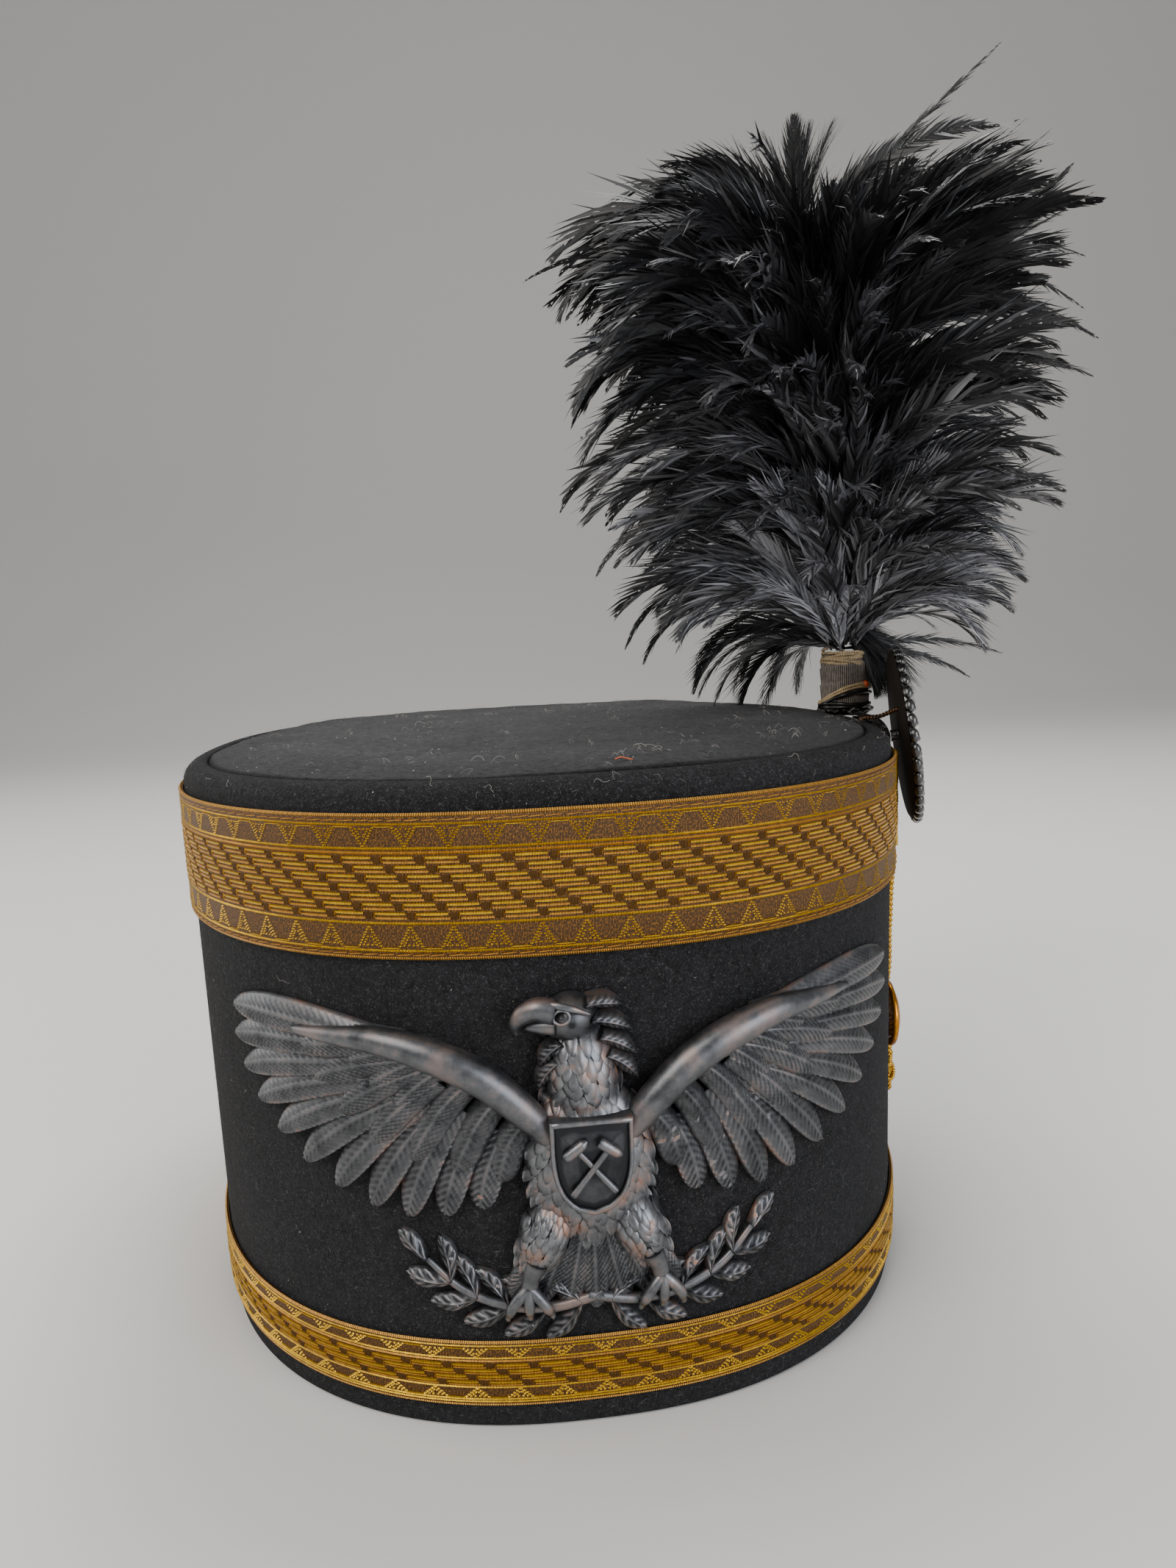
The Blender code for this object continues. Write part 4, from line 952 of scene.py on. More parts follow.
def spray_parts():
    """One laurel spray, on the +X side: a stem, leaves in pairs and a few berries."""
    stem = np.array([(-1.5, 29.5), (9, 27.5), (18, 28.5), (26, 32), (32.5, 38)])
    run = np.array([0.0, 10.7, 19.7, 28.5, 37.3])
    line = np.column_stack([stem, np.full(len(stem), 1.5)])
    parts = [bar(line, (1.1, 1.1, 1.0, 0.85, 0.6), around=10, steps=40)]
    for k, t in enumerate((4.5, 11.5, 18.5, 25.0, 31.0)):
        spot, ahead = smooth_path(stem, run, np.array([t, t + 0.5]))
        along = (ahead - spot) / np.linalg.norm(ahead - spot)
        side = np.array((-along[1], along[0]))
        for hand in (-1, 1):
            tip = spot + along * (9.0 - 0.3 * k) + side * hand * (6.3 - 0.2 * k)
            parts.append(vane(spot, tip, 2.1, 2.3, 0.07 * hand, 0.45 * hand, **LAUREL))
        berry = spot + along * 3.0 + side * (-1) ** k * 3.6
        parts.append(dome_grid((berry, (1.15, 1.15), 2.3, 0.0), 8, 14))
    end, before = stem[-1], stem[-2]
    ahead = (end - before) / np.linalg.norm(end - before)
    parts.append(vane(end, end + ahead * 8.0, 2.1, 2.2, 0.0, 0.0, **LAUREL))
    return parts


def head_parts():
    """Neck, head with brow and eye, closed hooked beak turned to -X, and nape feathers.
    Returns them, and the ring round the eye, which is closed along its length too."""
    upper_beak = ((-5.6, 88.9, 4.3), (-8.6, 89.5, 4.2), (-11.2, 88.3, 3.6), (-12.7, 85.9, 2.9),
                  (-12.5, 83.9, 2.6))
    lower_beak = ((-5.4, 85.9, 3.9), (-8.0, 85.9, 3.5), (-10.2, 85.6, 3.0), (-11.3, 84.9, 2.7))
    brow = ((-7.6, 90.6, 4.8), (-5.0, 90.4, 5.6), (-2.2, 89.7, 6.2), (0.8, 88.3, 5.6))
    parts = [
        dome_grid(NECK),
        dome_grid(HEAD, 18, 44),
        bar(upper_beak, (2.5, 2.3, 1.9, 1.1, 0.25), 14, 30),
        bar(lower_beak, (1.8, 1.5, 1.0, 0.3), 12, 20),
        bar(brow, (0.5, 0.8, 0.7, 0.3), 8, 20),
        dome_grid((EYE, (1.05, 0.95), 6.75, 0.0), 10, 16),
    ]
    turns = full_turn(24)
    ring = np.stack([EYE[0] + 1.5 * np.cos(turns), EYE[1] + 1.35 * np.sin(turns), 5.95 + 0 * turns], -1)
    socket = tube_grid(np.concatenate([ring, ring[:2]]), 0.32, 6)[: len(ring)]
    nape = (  # root, tip, half width
        ((0.2, 89.6), (7.4, 88.6), 1.6), ((1.2, 86.6), (9.2, 83.4), 1.7),
        ((2.6, 83.2), (9.8, 78.4), 1.7), ((3.8, 79.6), (9.9, 73.6), 1.7),
        ((-4.6, 82.6), (-8.9, 77.4), 1.5), ((-5.4, 79.0), (-9.4, 72.6), 1.6),
    )
    for root, tip, wide in nape:
        bow = math.copysign(0.08, tip[0])
        parts.append(vane(root, tip, wide, 5.0, bow, 0.2, barb=1.3, steps=30, blunt=1.3))
    return parts, socket


def foot_parts(hand):
    """One leg: feathered thigh, scaly shank, and toes with claws over the laurel.
    Returns them, and the thigh's dome."""
    thigh = ((hand * 9.0, 43.5), (5.4, 8.4), 6.1, hand * 0.35)
    shank = ((hand * 11.0, 38.5, 3.6), (hand * 12.3, 35.2, 3.5), (hand * 12.8, 32.6, 3.4))
    parts = [dome_grid(thigh), bar(shank, (2.3, 1.7, 1.6), 12, 14)]
    for spread in (-3.6, 0.0, 3.6):
        x = hand * 12.9
        toe = ((x, 33.2, 3.9), (x + 0.55 * spread, 31.2, 4.4), (x + 0.95 * spread, 29.0, 4.3),
               (x + 1.1 * spread, 27.3, 3.2))
        parts.append(bar(toe, (1.25, 1.15, 1.05, 0.75), 10, 18))
        claw = ((x + 1.1 * spread, 27.6, 3.4), (x + 1.2 * spread, 26.2, 2.8), (x + 1.15 * spread, 25.0, 1.7))
        parts.append(bar(claw, (0.75, 0.5, 0.1), 8, 12))
        for k in (0.25, 0.45, 0.65, 0.85):
            spot = np.array(toe[0]) * (1 - k) + np.array(toe[3]) * k
            parts.append(dome_grid(((spot[0], spot[1]), (1.25, 0.42), 5.75 - 1.3 * k, 0.0), 5, 12))
    return parts, thigh


def shield_parts():
    """A heater shield with a raised border, and two crossed hammers on its field. Its
    sides are straight at the top, and then curve in to the foot as the root of one minus
    a power of the fall."""
    middle, (half_x, half_y) = SHIELD
    falls = np.linspace(0.0, 1.0, 15)
    side = np.stack([half_x * np.sqrt(1 - falls**2.6), half_y * (0.45 - 1.45 * falls)], -1)
    top = np.stack([np.full(5, half_x), np.linspace(half_y, half_y * 0.55, 5)], -1)
    right = np.concatenate([top, side])
    left = right[::-1][1:] * (-1, 1)
    edge = np.stack([np.linspace(-half_x, half_x, 9)[1:-1], np.full(7, half_y)], -1)
    outline = np.concatenate([right, left, edge])
    sizes, heights = np.array((  # of the outline, from the foot over the border to the middle
        (1.0, 0.0), (1.0, 7.4), (0.975, 8.1), (0.93, 8.3), (0.885, 8.1), (0.86, 7.5), (0.70, 7.75),
        (0.4, 8.0), (0.04, 8.1),
    )).T
    grid = np.empty((len(sizes), len(outline), 3))
    grid[..., :2] = outline * sizes[:, None, None] + middle
    grid[..., 2] = heights[:, None]
    parts = [grid]
    for hand in (-1, 1):
        lean = math.radians(38.0) * hand
        along = np.array((math.sin(lean), math.cos(lean)))
        across = np.array((along[1], -along[0]))
        spot = np.array((0.0, 59.4))
        lift = 8.35 + 0.5 * (hand > 0)
        ends = [(*(spot + along * k), lift) for k in (-6.4, -2.0, 2.0, 5.9)]
        parts.append(bar(ends, (0.72, 0.6, 0.58, 0.62), 10, 24))
        head = spot + along * 4.9
        face = [(*(head + across * k), lift + 0.1) for k in (-2.5, -1.9, 0.0, 1.7, 2.6)]
        parts.append(bar(face, (0.95, 1.1, 1.15, 1.0, 0.45), 8, 18))
    return parts


def tail_parts():
    """Seven tail feathers in a fan, whose tips follow a cosine."""
    parts = []
    for x, higher in ((-17.0, -2), (-11.5, -1), (-5.8, 0), (0.0, 0), (5.8, 0), (11.5, 1), (17.0, 2)):
        tip = (x, 29.5 - 3.4 * math.cos(x / 17 * math.pi / 2))
        parts.append(vane((x * 0.22, 48), tip, 3.0, 3.0 + 0.02 * higher, 0.0, 0.25, barb=1.2, steps=64))
    return parts


def make_plate(settings):
    """The front plate: a cast eagle with raised wings, a shield on its breast and
    laurel below, every part closed and laid on the wall."""
    rng = np.random.default_rng(21)
    metal = cast_pewter("Blackened cast pewter", settings)
    wings, rest = Surfaces(), Surfaces()
    for shape, halves in ((wings, wing_parts()), (rest, spray_parts())):
        for part in halves:
            for grid in (part, mirror_plate(part)):
                shape.rods(on_plate(grid))
    wings.piece("eagle_wings", "dark_pewter", [metal], ["front_plate"], sharp=70.0)

    parts, socket = head_parts()
    parts += tail_parts()
    thighs = []
    for hand in (-1, 1):
        leg, thigh = foot_parts(hand)
        parts += leg
        thighs.append(thigh)
    parts += [dome_grid(BREAST), *shield_parts()]
    for grid in parts:
        rest.rods(on_plate(grid))
    rest.add(on_plate(socket), wrap=(True, True))
    body = scales(rng, (BREAST, NECK), 41.5, 84.0, 12.5, 1.75, 4.4, 2.3)
    rest.rods(on_plate(body))
    for thigh in thighs:
        low, high = thigh[0][1] - 7.6, thigh[0][1] + 7.6
        down = scales(rng, [thigh], low, high, 16.0, 1.6, 3.8, 1.9)
        rest.rods(on_plate(down))
    rest.piece("eagle_body", "dark_pewter", [metal], sharp=70.0)


# ---------------------------------------------------------------- the plume

STEM_PLACE = np.array((0.0895, 0.0015, 0.0)) + HAT_CENTRE
STEM_TOP = 0.1495
PLUME_LEAN = np.array((-0.946, 0.324, 0.0)) * 0.009  # what the axis leans by at LEAN_HEIGHT
LEAN_HEIGHT = 0.090

# The plume's tiers from the bottom up. Millimetres and degrees: height of the roots above
# the stem, length and end angle of the feathers on its right and then on its left, their
# start angle, and the tier's share. Angles are from straight up.
TIERS = np.array((
    (4.0, 47.0, 138.0, 4.0, 66.0, 152.0, 40.0, 0.07),
    (13.0, 58.0, 130.0, 14.0, 77.0, 147.0, 30.0, 0.11),
    (28.0, 71.0, 126.0, 30.0, 93.0, 146.0, 23.0, 0.15),
    (45.0, 81.0, 120.0, 48.0, 98.0, 148.0, 19.0, 0.17),
    (60.0, 88.0, 114.0, 68.0, 96.0, 146.0, 16.0, 0.16),
    (75.0, 90.0, 100.0, 86.0, 96.0, 148.0, 17.0, 0.14),
    (83.0, 78.0, 90.0, 98.0, 80.0, 142.0, 18.0, 0.10),
    (92.0, 56.0, 84.0, 106.0, 62.0, 122.0, 15.0, 0.07),
    (102.0, 38.0, 80.0, 108.0, 40.0, 96.0, 8.0, 0.05),
))
RIGHT = math.atan2(PLUME_LEAN[1], PLUME_LEAN[0]) - math.pi  # the turn of the plume's right side

# Single feathers that stand out of the plume: turn from its right side, height of the
# root, length, start and end angle, half width of the vane, and roll about the shaft.
SINGLES = np.array((
    (0.0, 110.0, 70.0, 48.0, 52.0, 2.4, 60.0),
    (6.0, 8.0, 25.0, 122.0, 178.0, 5.6, 40.0),
    (20.0, 7.0, 23.0, 128.0, 180.0, 6.0, -40.0),
    (-14.0, 8.0, 24.0, 124.0, 178.0, 5.4, 10.0),
    (-4.0, 6.0, 21.0, 132.0, 180.0, 6.0, 80.0),
    (32.0, 8.0, 24.0, 126.0, 178.0, 6.0, -70.0),
    (12.0, 9.0, 28.0, 118.0, 178.0, 5.8, -10.0),
    (44.0, 8.0, 26.0, 122.0, 178.0, 6.0, 30.0),
    (-26.0, 7.0, 22.0, 126.0, 178.0, 5.6, 60.0),
    (26.0, 9.0, 27.0, 116.0, 178.0, 6.0, 0.0),
    (38.0, 7.0, 20.0, 130.0, 180.0, 6.0, 70.0),
    (0.0, 10.0, 29.0, 114.0, 178.0, 6.4, 20.0),
    (15.0, 10.0, 30.0, 112.0, 178.0, 6.4, -30.0),
    (-11.0, 9.0, 28.0, 114.0, 178.0, 6.2, 50.0),
    (33.0, 10.0, 29.0, 112.0, 178.0, 6.4, -60.0),
    (34.0, 1.0, 58.0, 82.0, 108.0, 3.2, 40.0),
    (44.0, 1.0, 56.0, 90.0, 116.0, 2.6, 70.0),
    (-2.0, 104.0, 66.0, 22.0, 104.0, 7.2, 70.0),
    (3.0, 92.0, 73.0, 51.0, 53.0, 0.8, 40.0),
    (4.0, 86.0, 79.0, 78.0, 40.0, 4.4, 50.0),
    (-8.0, 85.0, 76.0, 76.0, 46.0, 4.0, -60.0),
    (8.0, 84.0, 72.0, 74.0, 50.0, 4.6, 70.0),
    (-2.0, 92.0, 77.0, 80.0, 64.0, 3.0, 30.0),
    (5.0, 93.0, 79.0, 60.0, 132.0, 2.6, 60.0),
    (-4.0, 80.0, 78.0, 58.0, 130.0, 3.4, 70.0),
    (-12.0, 58.0, 74.0, 48.0, 122.0, 4.0, 50.0),
    (180.0, 80.0, 97.0, 30.0, 116.0, 2.4, 60.0),
    (178.0, 34.0, 101.0, 25.0, 150.0, 3.6, 60.0),
    (184.0, 18.0, 87.0, 28.0, 151.0, 3.4, -70.0),
    (188.0, 6.0, 78.0, 35.0, 160.0, 3.6, 60.0),
    (172.0, 4.0, 74.0, 40.0, 160.0, 4.0, 40.0),
    (126.0, 3.0, 68.0, 52.0, 162.0, 5.0, 30.0),
    (134.0, 2.0, 62.0, 58.0, 164.0, 5.6, -30.0),
    (144.0, 3.0, 70.0, 50.0, 160.0, 5.2, 20.0),
    (152.0, 2.0, 64.0, 56.0, 162.0, 5.0, 60.0),
    (118.0, 2.0, 60.0, 58.0, 164.0, 5.2, 10.0),
    (110.0, 1.0, 54.0, 60.0, 166.0, 5.4, -20.0),
    (139.0, 1.0, 54.0, 66.0, 168.0, 5.6, 50.0),
    (148.0, 0.0, 58.0, 64.0, 162.0, 5.2, -60.0),
    (160.0, 1.0, 56.0, 60.0, 160.0, 5.0, 0.0),
    (130.0, 0.0, 48.0, 70.0, 168.0, 5.6, 0.0),
    (-90.0, 107.0, 36.0, 4.0, 16.0, 6.8, 0.0),
    (-20.0, 106.0, 36.0, 6.0, 30.0, 5.8, 50.0),
    (200.0, 106.0, 35.0, 4.0, 26.0, 6.0, -40.0),
    (-60.0, 106.0, 34.0, 4.0, 24.0, 5.6, 30.0),
))

# The collar of feathers at the plume's foot, whose high tone paints them pale as silvery
# sheen: ranges of their turn, height of the root, length, start angle, end angle and tone.
COLLAR = ((0, 2 * math.pi), (0.0, 8.0), (36.0, 60.0), (4, 22), (28, 82), (0.95, 1.35))

TIP_REACH = 0.0015  # how far barbs may reach past the tip of their feather, in metres
BARE_FOOT = 0.05  # of a shaft, below its first barbs
SHAFT_RADIUS = 0.00028
SINGLE_SHAFT_RADIUS = 0.00042
SINGLE_BARBS = 64
PLUME_PIECES = 4


def plume_axis(rise):
    """Points on the plume's leaning axis, this far above the stem's top: it leans by a
    power of the height."""
    rise = np.asarray(rise, float)[..., None]
    lean = PLUME_LEAN * (np.maximum(rise, 0) / LEAN_HEIGHT) ** 1.5
    return STEM_PLACE + lean + rise * (0, 0, 1) + (0, 0, STEM_TOP)


def feather_paths(turn, root, length, start, end, steps=13, curl=0.0):
    """Midlines of feathers, in metres: each leaves the axis at its start angle from
    straight up, and bends evenly to its end angle, while its turn about the axis
    drifts by curl."""
    s = np.linspace(0.0, 1.0, steps)
    turn = turn[:, None] + np.asarray(curl)[..., None] * s**2
    away = np.stack([np.cos(turn), np.sin(turn), np.zeros_like(turn)], -1)
    lean = start[:, None] + (end - start)[:, None] * s**1.15
    step = away * np.sin(lean)[..., None] + (0, 0, 1) * np.cos(lean)[..., None]
    step = step * (length / (steps - 1))[:, None, None]
    along = np.cumsum((step[:, 1:] + step[:, :-1]) / 2, axis=1)
    along = np.concatenate([np.zeros_like(step[:, :1]), along], axis=1)
    return plume_axis(root)[:, None] + along, away


def feather_frames(path, away, roll):
    """Tangent, side and face of each feather along its midline. The side is level and
    square to the way out, then turned about the tangent by roll."""
    along = unit(np.gradient(path, axis=1))
    level = np.stack([-away[..., 1], away[..., 0], away[..., 2]], -1)
    side = unit(level - along * (level * along).sum(-1, keepdims=True))
    face = np.cross(along, side)
    turn = roll[:, None, None]
    return along, side * np.cos(turn) + face * np.sin(turn), face * np.cos(turn) - side * np.sin(turn)


def blend_rows(values, t):
    """Values along each feather, read at shares t by straight lines between steps."""
    steps = values.shape[1]
    spot = np.clip(t, 0, 1) * (steps - 1)
    low = np.clip(spot.astype(int), 0, steps - 2)
    part = (spot - low)[..., None]
    rows = np.arange(len(values))[:, None]
    return values[rows, low] * (1 - part) + values[rows, low + 1] * part


def barb_grids(rng, path, frames, width, barbs, loose=1.0, angle=(0.42, 0.17)):
    """The barbs of each feather as tapering strips, two cells long. A barb leaves the
    shaft at an angle that closes towards the tip, bends forwards, sags out of the
    vane's plane, and is rolled about its own length, so that it catches the light its
    own way. It is as long as the vane is wide there, by a sine of s to the power 0.75,
    and reaches hardly past the shaft's tip. Neighbours share a slow drift of angle and
    length, so that they clump and split, and loose makes the outer ends wander."""
    along, side, face = frames
    count = len(path)
    each = (count, barbs)
    t = np.linspace(BARE_FOOT, 0.985, barbs)[None] + rng.uniform(-0.3, 0.3, each) / barbs
    root, a, b, c = (blend_rows(v, t) for v in (path, along, side, face))
    full = np.sin(math.pi * np.clip(t, 0, 1) ** 0.75) ** 0.8 * (1 - 0.25 * t)
    run = np.linalg.norm(np.diff(path, axis=1), axis=-1).sum(1)
    grids = []
    for hand in (-1.0, 1.0):
        drift = np.cumsum(rng.normal(0, 0.10, each), axis=1)
        drift -= drift.mean(1, keepdims=True)
        drift = (np.clip(drift, -0.5, 0.5) + rng.normal(0, 0.05, each)) * (0.3 + 0.7 * loose)
        length = width[:, None] * full * (1 + 0.5 * drift) * rng.uniform(0.75, 1.15, each)
        open_angle = (angle[0] + (angle[1] - angle[0]) * t) * (1 + 0.35 * drift)
        reach = np.minimum(length / np.sin(open_angle), (1 - t) * run[:, None] + TIP_REACH)
        down = 1 + 1.2 * (1 - t) ** 2 * loose  # the barbs at the foot of a feather are fluffy
        sag = rng.normal(-0.10, 0.10, each) * down + 0.3 * drift * loose
        spots = [root]
        for half, close, sagging in ((0, 1.0, 0.4), (1, 0.55, 1.5)):
            turned = open_angle * close + (0.08 * loose * rng.normal(0, 1, each) if half else 0.0)
            step = (a * np.cos(turned)[..., None] + hand * b * np.sin(turned)[..., None]
                    + c * (sag * sagging)[..., None])
            spots.append(spots[-1] + step * (reach / 2)[..., None])
        spots = np.stack(spots, 2)
        gap = run[:, None] / barbs * np.sin(open_angle) * 0.80
        wide = np.stack([gap * 1.1, gap * 0.85, gap * 0.05], -1)[..., None]
        across = unit(np.cross(np.gradient(spots, axis=2), c[:, :, None]))
        roll = rng.normal(0, 0.32, (*each, 1, 1))
        across = across * np.cos(roll) + c[:, :, None] * np.sin(roll)
        grids.append(np.stack([spots - across * wide, spots + across * wide], axis=3))
    return grids


def add_feathers(rng, shape, path, away, width, roll, barbs, tone, shaft=SHAFT_RADIUS, **how):
    """Feathers with their shafts and barbs, added to a piece's surfaces. A barb's tone
    falls towards the feather's tip and wanders from barb to barb, which paints streaks of sheen along the
    vanes."""
    frames = feather_frames(path, away, roll)
    fade = 0.35 * np.linspace(0.0, 1.0, barbs) ** 1.5
    for grid in barb_grids(rng, path, frames, width, barbs, **how):
        # Painted sheen: the random tone of each barb makes pale streaks along the vane.
        spread = tone[:, None] - fade + rng.normal(0, 0.20, grid.shape[:2])
        shape.add(grid.reshape(-1, 3, 2, 3), tone=np.clip(spread, 0, 1).ravel())
    path, side, face = (part[:, ::2] for part in (path, *frames[1:]))  # a shaft needs fewer steps
    taper = (1 - 0.92 * np.linspace(0, 1, path.shape[1]))[:, None] * shaft
    turns = np.array((0.0, 2.1, 4.2))
    ring = np.cos(turns)[:, None] * side[:, :, None] + np.sin(turns)[:, None] * face[:, :, None]
    shape.rods(path[:, :, None] + ring * taper[..., None], kind=1, tone=tone)


def cock_feather(settings):
    """Dyed cock feather: black, with the gloss of keratin. A higher tone mixes in a
    pale grey, which paints silvery streaks of sheen and also stands for greyer, thinly dyed barbs."""
    vane_finish = toned("Black cock feather", settings.feather_colour, settings.thin_dye_and_sheen, power=3.0,
                        Roughness=0.50, Specular_IOR_Level=0.50, Sheen_Weight=0.45, Sheen_Roughness=0.35,
                        Sheen_Tint=rgba(linear("#8f8f96")))
    shaft_finish = toned("Feather shaft", settings.feather_colour, linear("#5c5c5e"), power=3.0,
                         Roughness=0.35)
    return [vane_finish, shaft_finish]


def add_singles(rng, shape):
    """The single feathers. A broad one is a closed blade, the others are wisps."""
    turns, roots, lengths, starts, ends, halves, rolls = SINGLES.T
    path, away = feather_paths(np.radians(turns) + RIGHT, roots * MM, lengths * MM, np.radians(starts),
                               np.radians(ends), steps=25)
    broad = (halves > 6.5)[:, None]
    # Painted sheen as on the tiers: the tone is paler for lower roots, and low for feathers that start
    # drooping past 100 degrees.
    tone = np.where(starts > 100.0, 0.1, 0.45 - 0.005 * roots)
    add_feathers(rng, shape, path, away, halves * MM, np.radians(rolls), SINGLE_BARBS, tone,
                 shaft=SINGLE_SHAFT_RADIUS, loose=0.35,
                 angle=(np.where(broad, 0.75, 0.42), np.where(broad, 0.4, 0.17)))


def tier_feathers(rng, feathers):
    """Turn, height of the root, length, start angle, end angle and tone of the feathers
    in the tiers. Each feather lies at a random level between two tiers, and its numbers
    lie between theirs."""
    tier = np.repeat(np.arange(len(TIERS)), np.round(TIERS[:, -1] * feathers).astype(int))
    count = len(tier)
    level = np.clip(tier + rng.uniform(-0.6, 0.6, count), 0, len(TIERS) - 1)
    table = np.stack([np.interp(level, np.arange(len(TIERS)), column) for column in TIERS.T])
    turn = rng.uniform(0, 2 * math.pi, count)  # crowded towards the sides, and most on the left
    turn += 0.10 * np.sin(turn) - 0.20 * np.sin(2 * turn) + RIGHT
    leftness = 0.5 - 0.5 * np.cos(turn - RIGHT)
    facing = 1 - np.abs(np.cos(turn - RIGHT))  # 1 for feathers that point to the front or back
    forward = np.maximum(-np.sin(turn - RIGHT), 0)
    root, length, end = table[:3] + (table[3:6] - table[:3]) * leftness
    deep = rng.uniform(0, 1, count)  # 0 for the outermost feathers, 1 for the inner ones
    length = length * (1 - 0.40 * deep**1.5) * rng.uniform(0.9, 1.06, count)
    root = np.maximum(root - 9.0 * facing - 2.2 * forward * level, 2.0)
    steeper = 30.0 * facing * np.clip(1.3 - level / 5, 0, 1)
    end = end - steeper + rng.normal(0, 11, count) - 18 * deep
    start = table[6] + rng.normal(0, 6, count)
    # Painted sheen: feathers in the lower tiers get a higher tone, and so a paler grey, and the tone falls
    # towards black up the plume.
    low_down = np.clip(1.2 - level / 3.0, 0, 1)
    tone = rng.uniform(0.6 * low_down, 0.86 + 0.14 * low_down) * (1.00 - 0.80 * level / len(TIERS))
    return np.stack([turn, root, length, start, end, tone])


def make_plume(settings):
    """The plume: tiers of hackle feathers round the axis, longer and more drooping on the
    left than on the right and steeper to the front and back, a collar of feathers painted
    paler as sheen that lie up against the rest, and the single ones that stick out."""
    rng = np.random.default_rng(41)
    finishes = cock_feather(settings)
    tiers = tier_feathers(rng, settings.feathers)
    collar = [rng.uniform(low, high, settings.feathers // 9) for low, high in COLLAR]
    turn, root, length, start, end, tone = np.concatenate([tiers, collar], axis=1)
    count = len(turn)
    path, away = feather_paths(turn, root * MM, length * MM, np.radians(start), np.radians(end),
                               curl=rng.normal(0, 0.2, count))
    # The lowest feathers spring from all over the stem's top and not from its middle.
    spread = 0.0052 * np.sqrt(rng.random(count)) * np.clip(1.4 - root / 30, 0, 1)
    path = path + away[:, :1] * spread[:, None, None]
    width = rng.uniform(0.0042, 0.0084, count) * (0.6 + 0.4 * length / 80)
    roll = np.abs(np.cos(turn - RIGHT)) * rng.choice((-1.0, 1.0), count) + rng.normal(0, 0.4, count)
    for part in range(PLUME_PIECES):
        pick = np.arange(count) % PLUME_PIECES == part
        shape = Surfaces()
        add_feathers(rng, shape, path[pick], away[pick], width[pick], roll[pick], settings.barbs, tone[pick])
        if part == 0:
            add_singles(rng, shape)
        shape.piece(f"plume_feathers_{part + 1}", "cock_feather", finishes, ["plume"], sharp=180.0)


# ---------------------------------------------------------------- fittings on the left

# Distances out of the wall on the side line, heights and widths, in millimetres.
TAB_BACK = 1.9
TAB_THICK = 1.4
TAB_HALF_WIDTH = 4.5
BRAID_BACK = TAB_BACK + TAB_THICK + 0.3
CORD_ROUTE = (  # height, distance of its middle
    (39.0, 4.1), (41.5, 3.6), (45.0, 2.2), (51.0, 1.5), (56.0, 1.9), (60.5, 2.9), (76.0, 3.5), (90.0, 4.1),
    (95.0, 4.6),
)
CORD_HALF_GAP = 1.35  # from the middle of the doubled cord to each of its sides
KNOT = (4.1, 34.5)  # distance of its middle, height
BUTTON = (9.05, 51.0, 3.1, 3.4)  # radius, height, distance of its back, rise
ROSETTE = (7.9, 127.8)  # distance of its middle, height
WIRE_ROUTE = (  # distance, height, place along the wall
    (-5.6, 132.9, -7.2), (-4.6, 133.2, -7.1), (-2.6, 133.3, -7.2), (-0.6, 133.5, -7.3), (1.4, 134.2, -7.2),
    (3.0, 134.9, -7.2), (4.6, 135.3, -7.4),
)

# Radii and places in metres.
STRAND_RADIUS, STRAND_OFFSET = 0.00062, 0.00052  # of the cord's two strands
END_RADIUS, END_OFFSET = 0.00042, 0.00036  # of those of its short ends
WIRE_RADIUS, WIRE_OFFSET = 0.00036, 0.00028
PLEATS, PLEATS_START, PLEATS_WIDE = 36, 0.0062, 0.0165
BEADS, BEAD_RING = 38, 0.0229
ROSETTE_TURN = math.radians(-16.5)
ROSETTE_TILT = math.radians(6.4)


def side_axes():
    """Where the line of fittings crosses the rim, the way out of the wall there, and the
    way back along the wall."""
    spots = oval_points(np.linspace(-0.5, 0.0, 2000), HAT_HEIGHT, np.array([[0.0], [1.0]]))
    best = int(np.argmin(np.abs(spots[0, :, 1] - HAT_CENTRE[1] - SIDE_LINE_Y)))
    place, beyond = spots[:, best]
    out = unit(beyond - place)
    return place * (1, 1, 0), out, np.cross((0.0, 0.0, 1.0), out)


SIDE_PLACE, SIDE_OUT, SIDE_BACK = side_axes()


def at_side(outwards, height, backwards=0.0):
    """Points by distance out of the wall, height, and place along the wall, all in
    millimetres. The wall leans in by its taper."""
    values = (np.asarray(v, float) for v in (outwards, height, backwards))
    outwards, height, backwards = (v[..., None] * MM for v in np.broadcast_arrays(*values))
    out = outwards - TAPER * (HAT_HEIGHT - height)
    return SIDE_PLACE + SIDE_OUT * out + SIDE_BACK * backwards + height * (0, 0, 1)


def patent_leather(name, settings):
    """Black patent leather: a hard glossy coat over finely creased hide."""
    made, tree, shader = blank_material(
        name, Base_Color=rgba(settings.leather_colour), Roughness=0.30, Coat_Weight=1.0, Coat_Roughness=0.10
    )
    place = node(tree, "ShaderNodeTexCoord").outputs["Object"]
    creases = node(tree, "ShaderNodeTexVoronoi", {"Vector": place, "Scale": 900.0},
                   feature="DISTANCE_TO_EDGE")
    folds = node(tree, "ShaderNodeTexNoise", {"Vector": place, "Scale": 300.0, "Detail": 4.0})
    height = node(tree, "ShaderNodeMath", {0: creases.outputs["Distance"], 1: folds}, operation="ADD")
    bump = node(tree, "ShaderNodeBump", {"Height": height, "Strength": 0.5, "Distance": 0.0003})
    feed(shader, {"Normal": bump})
    return made


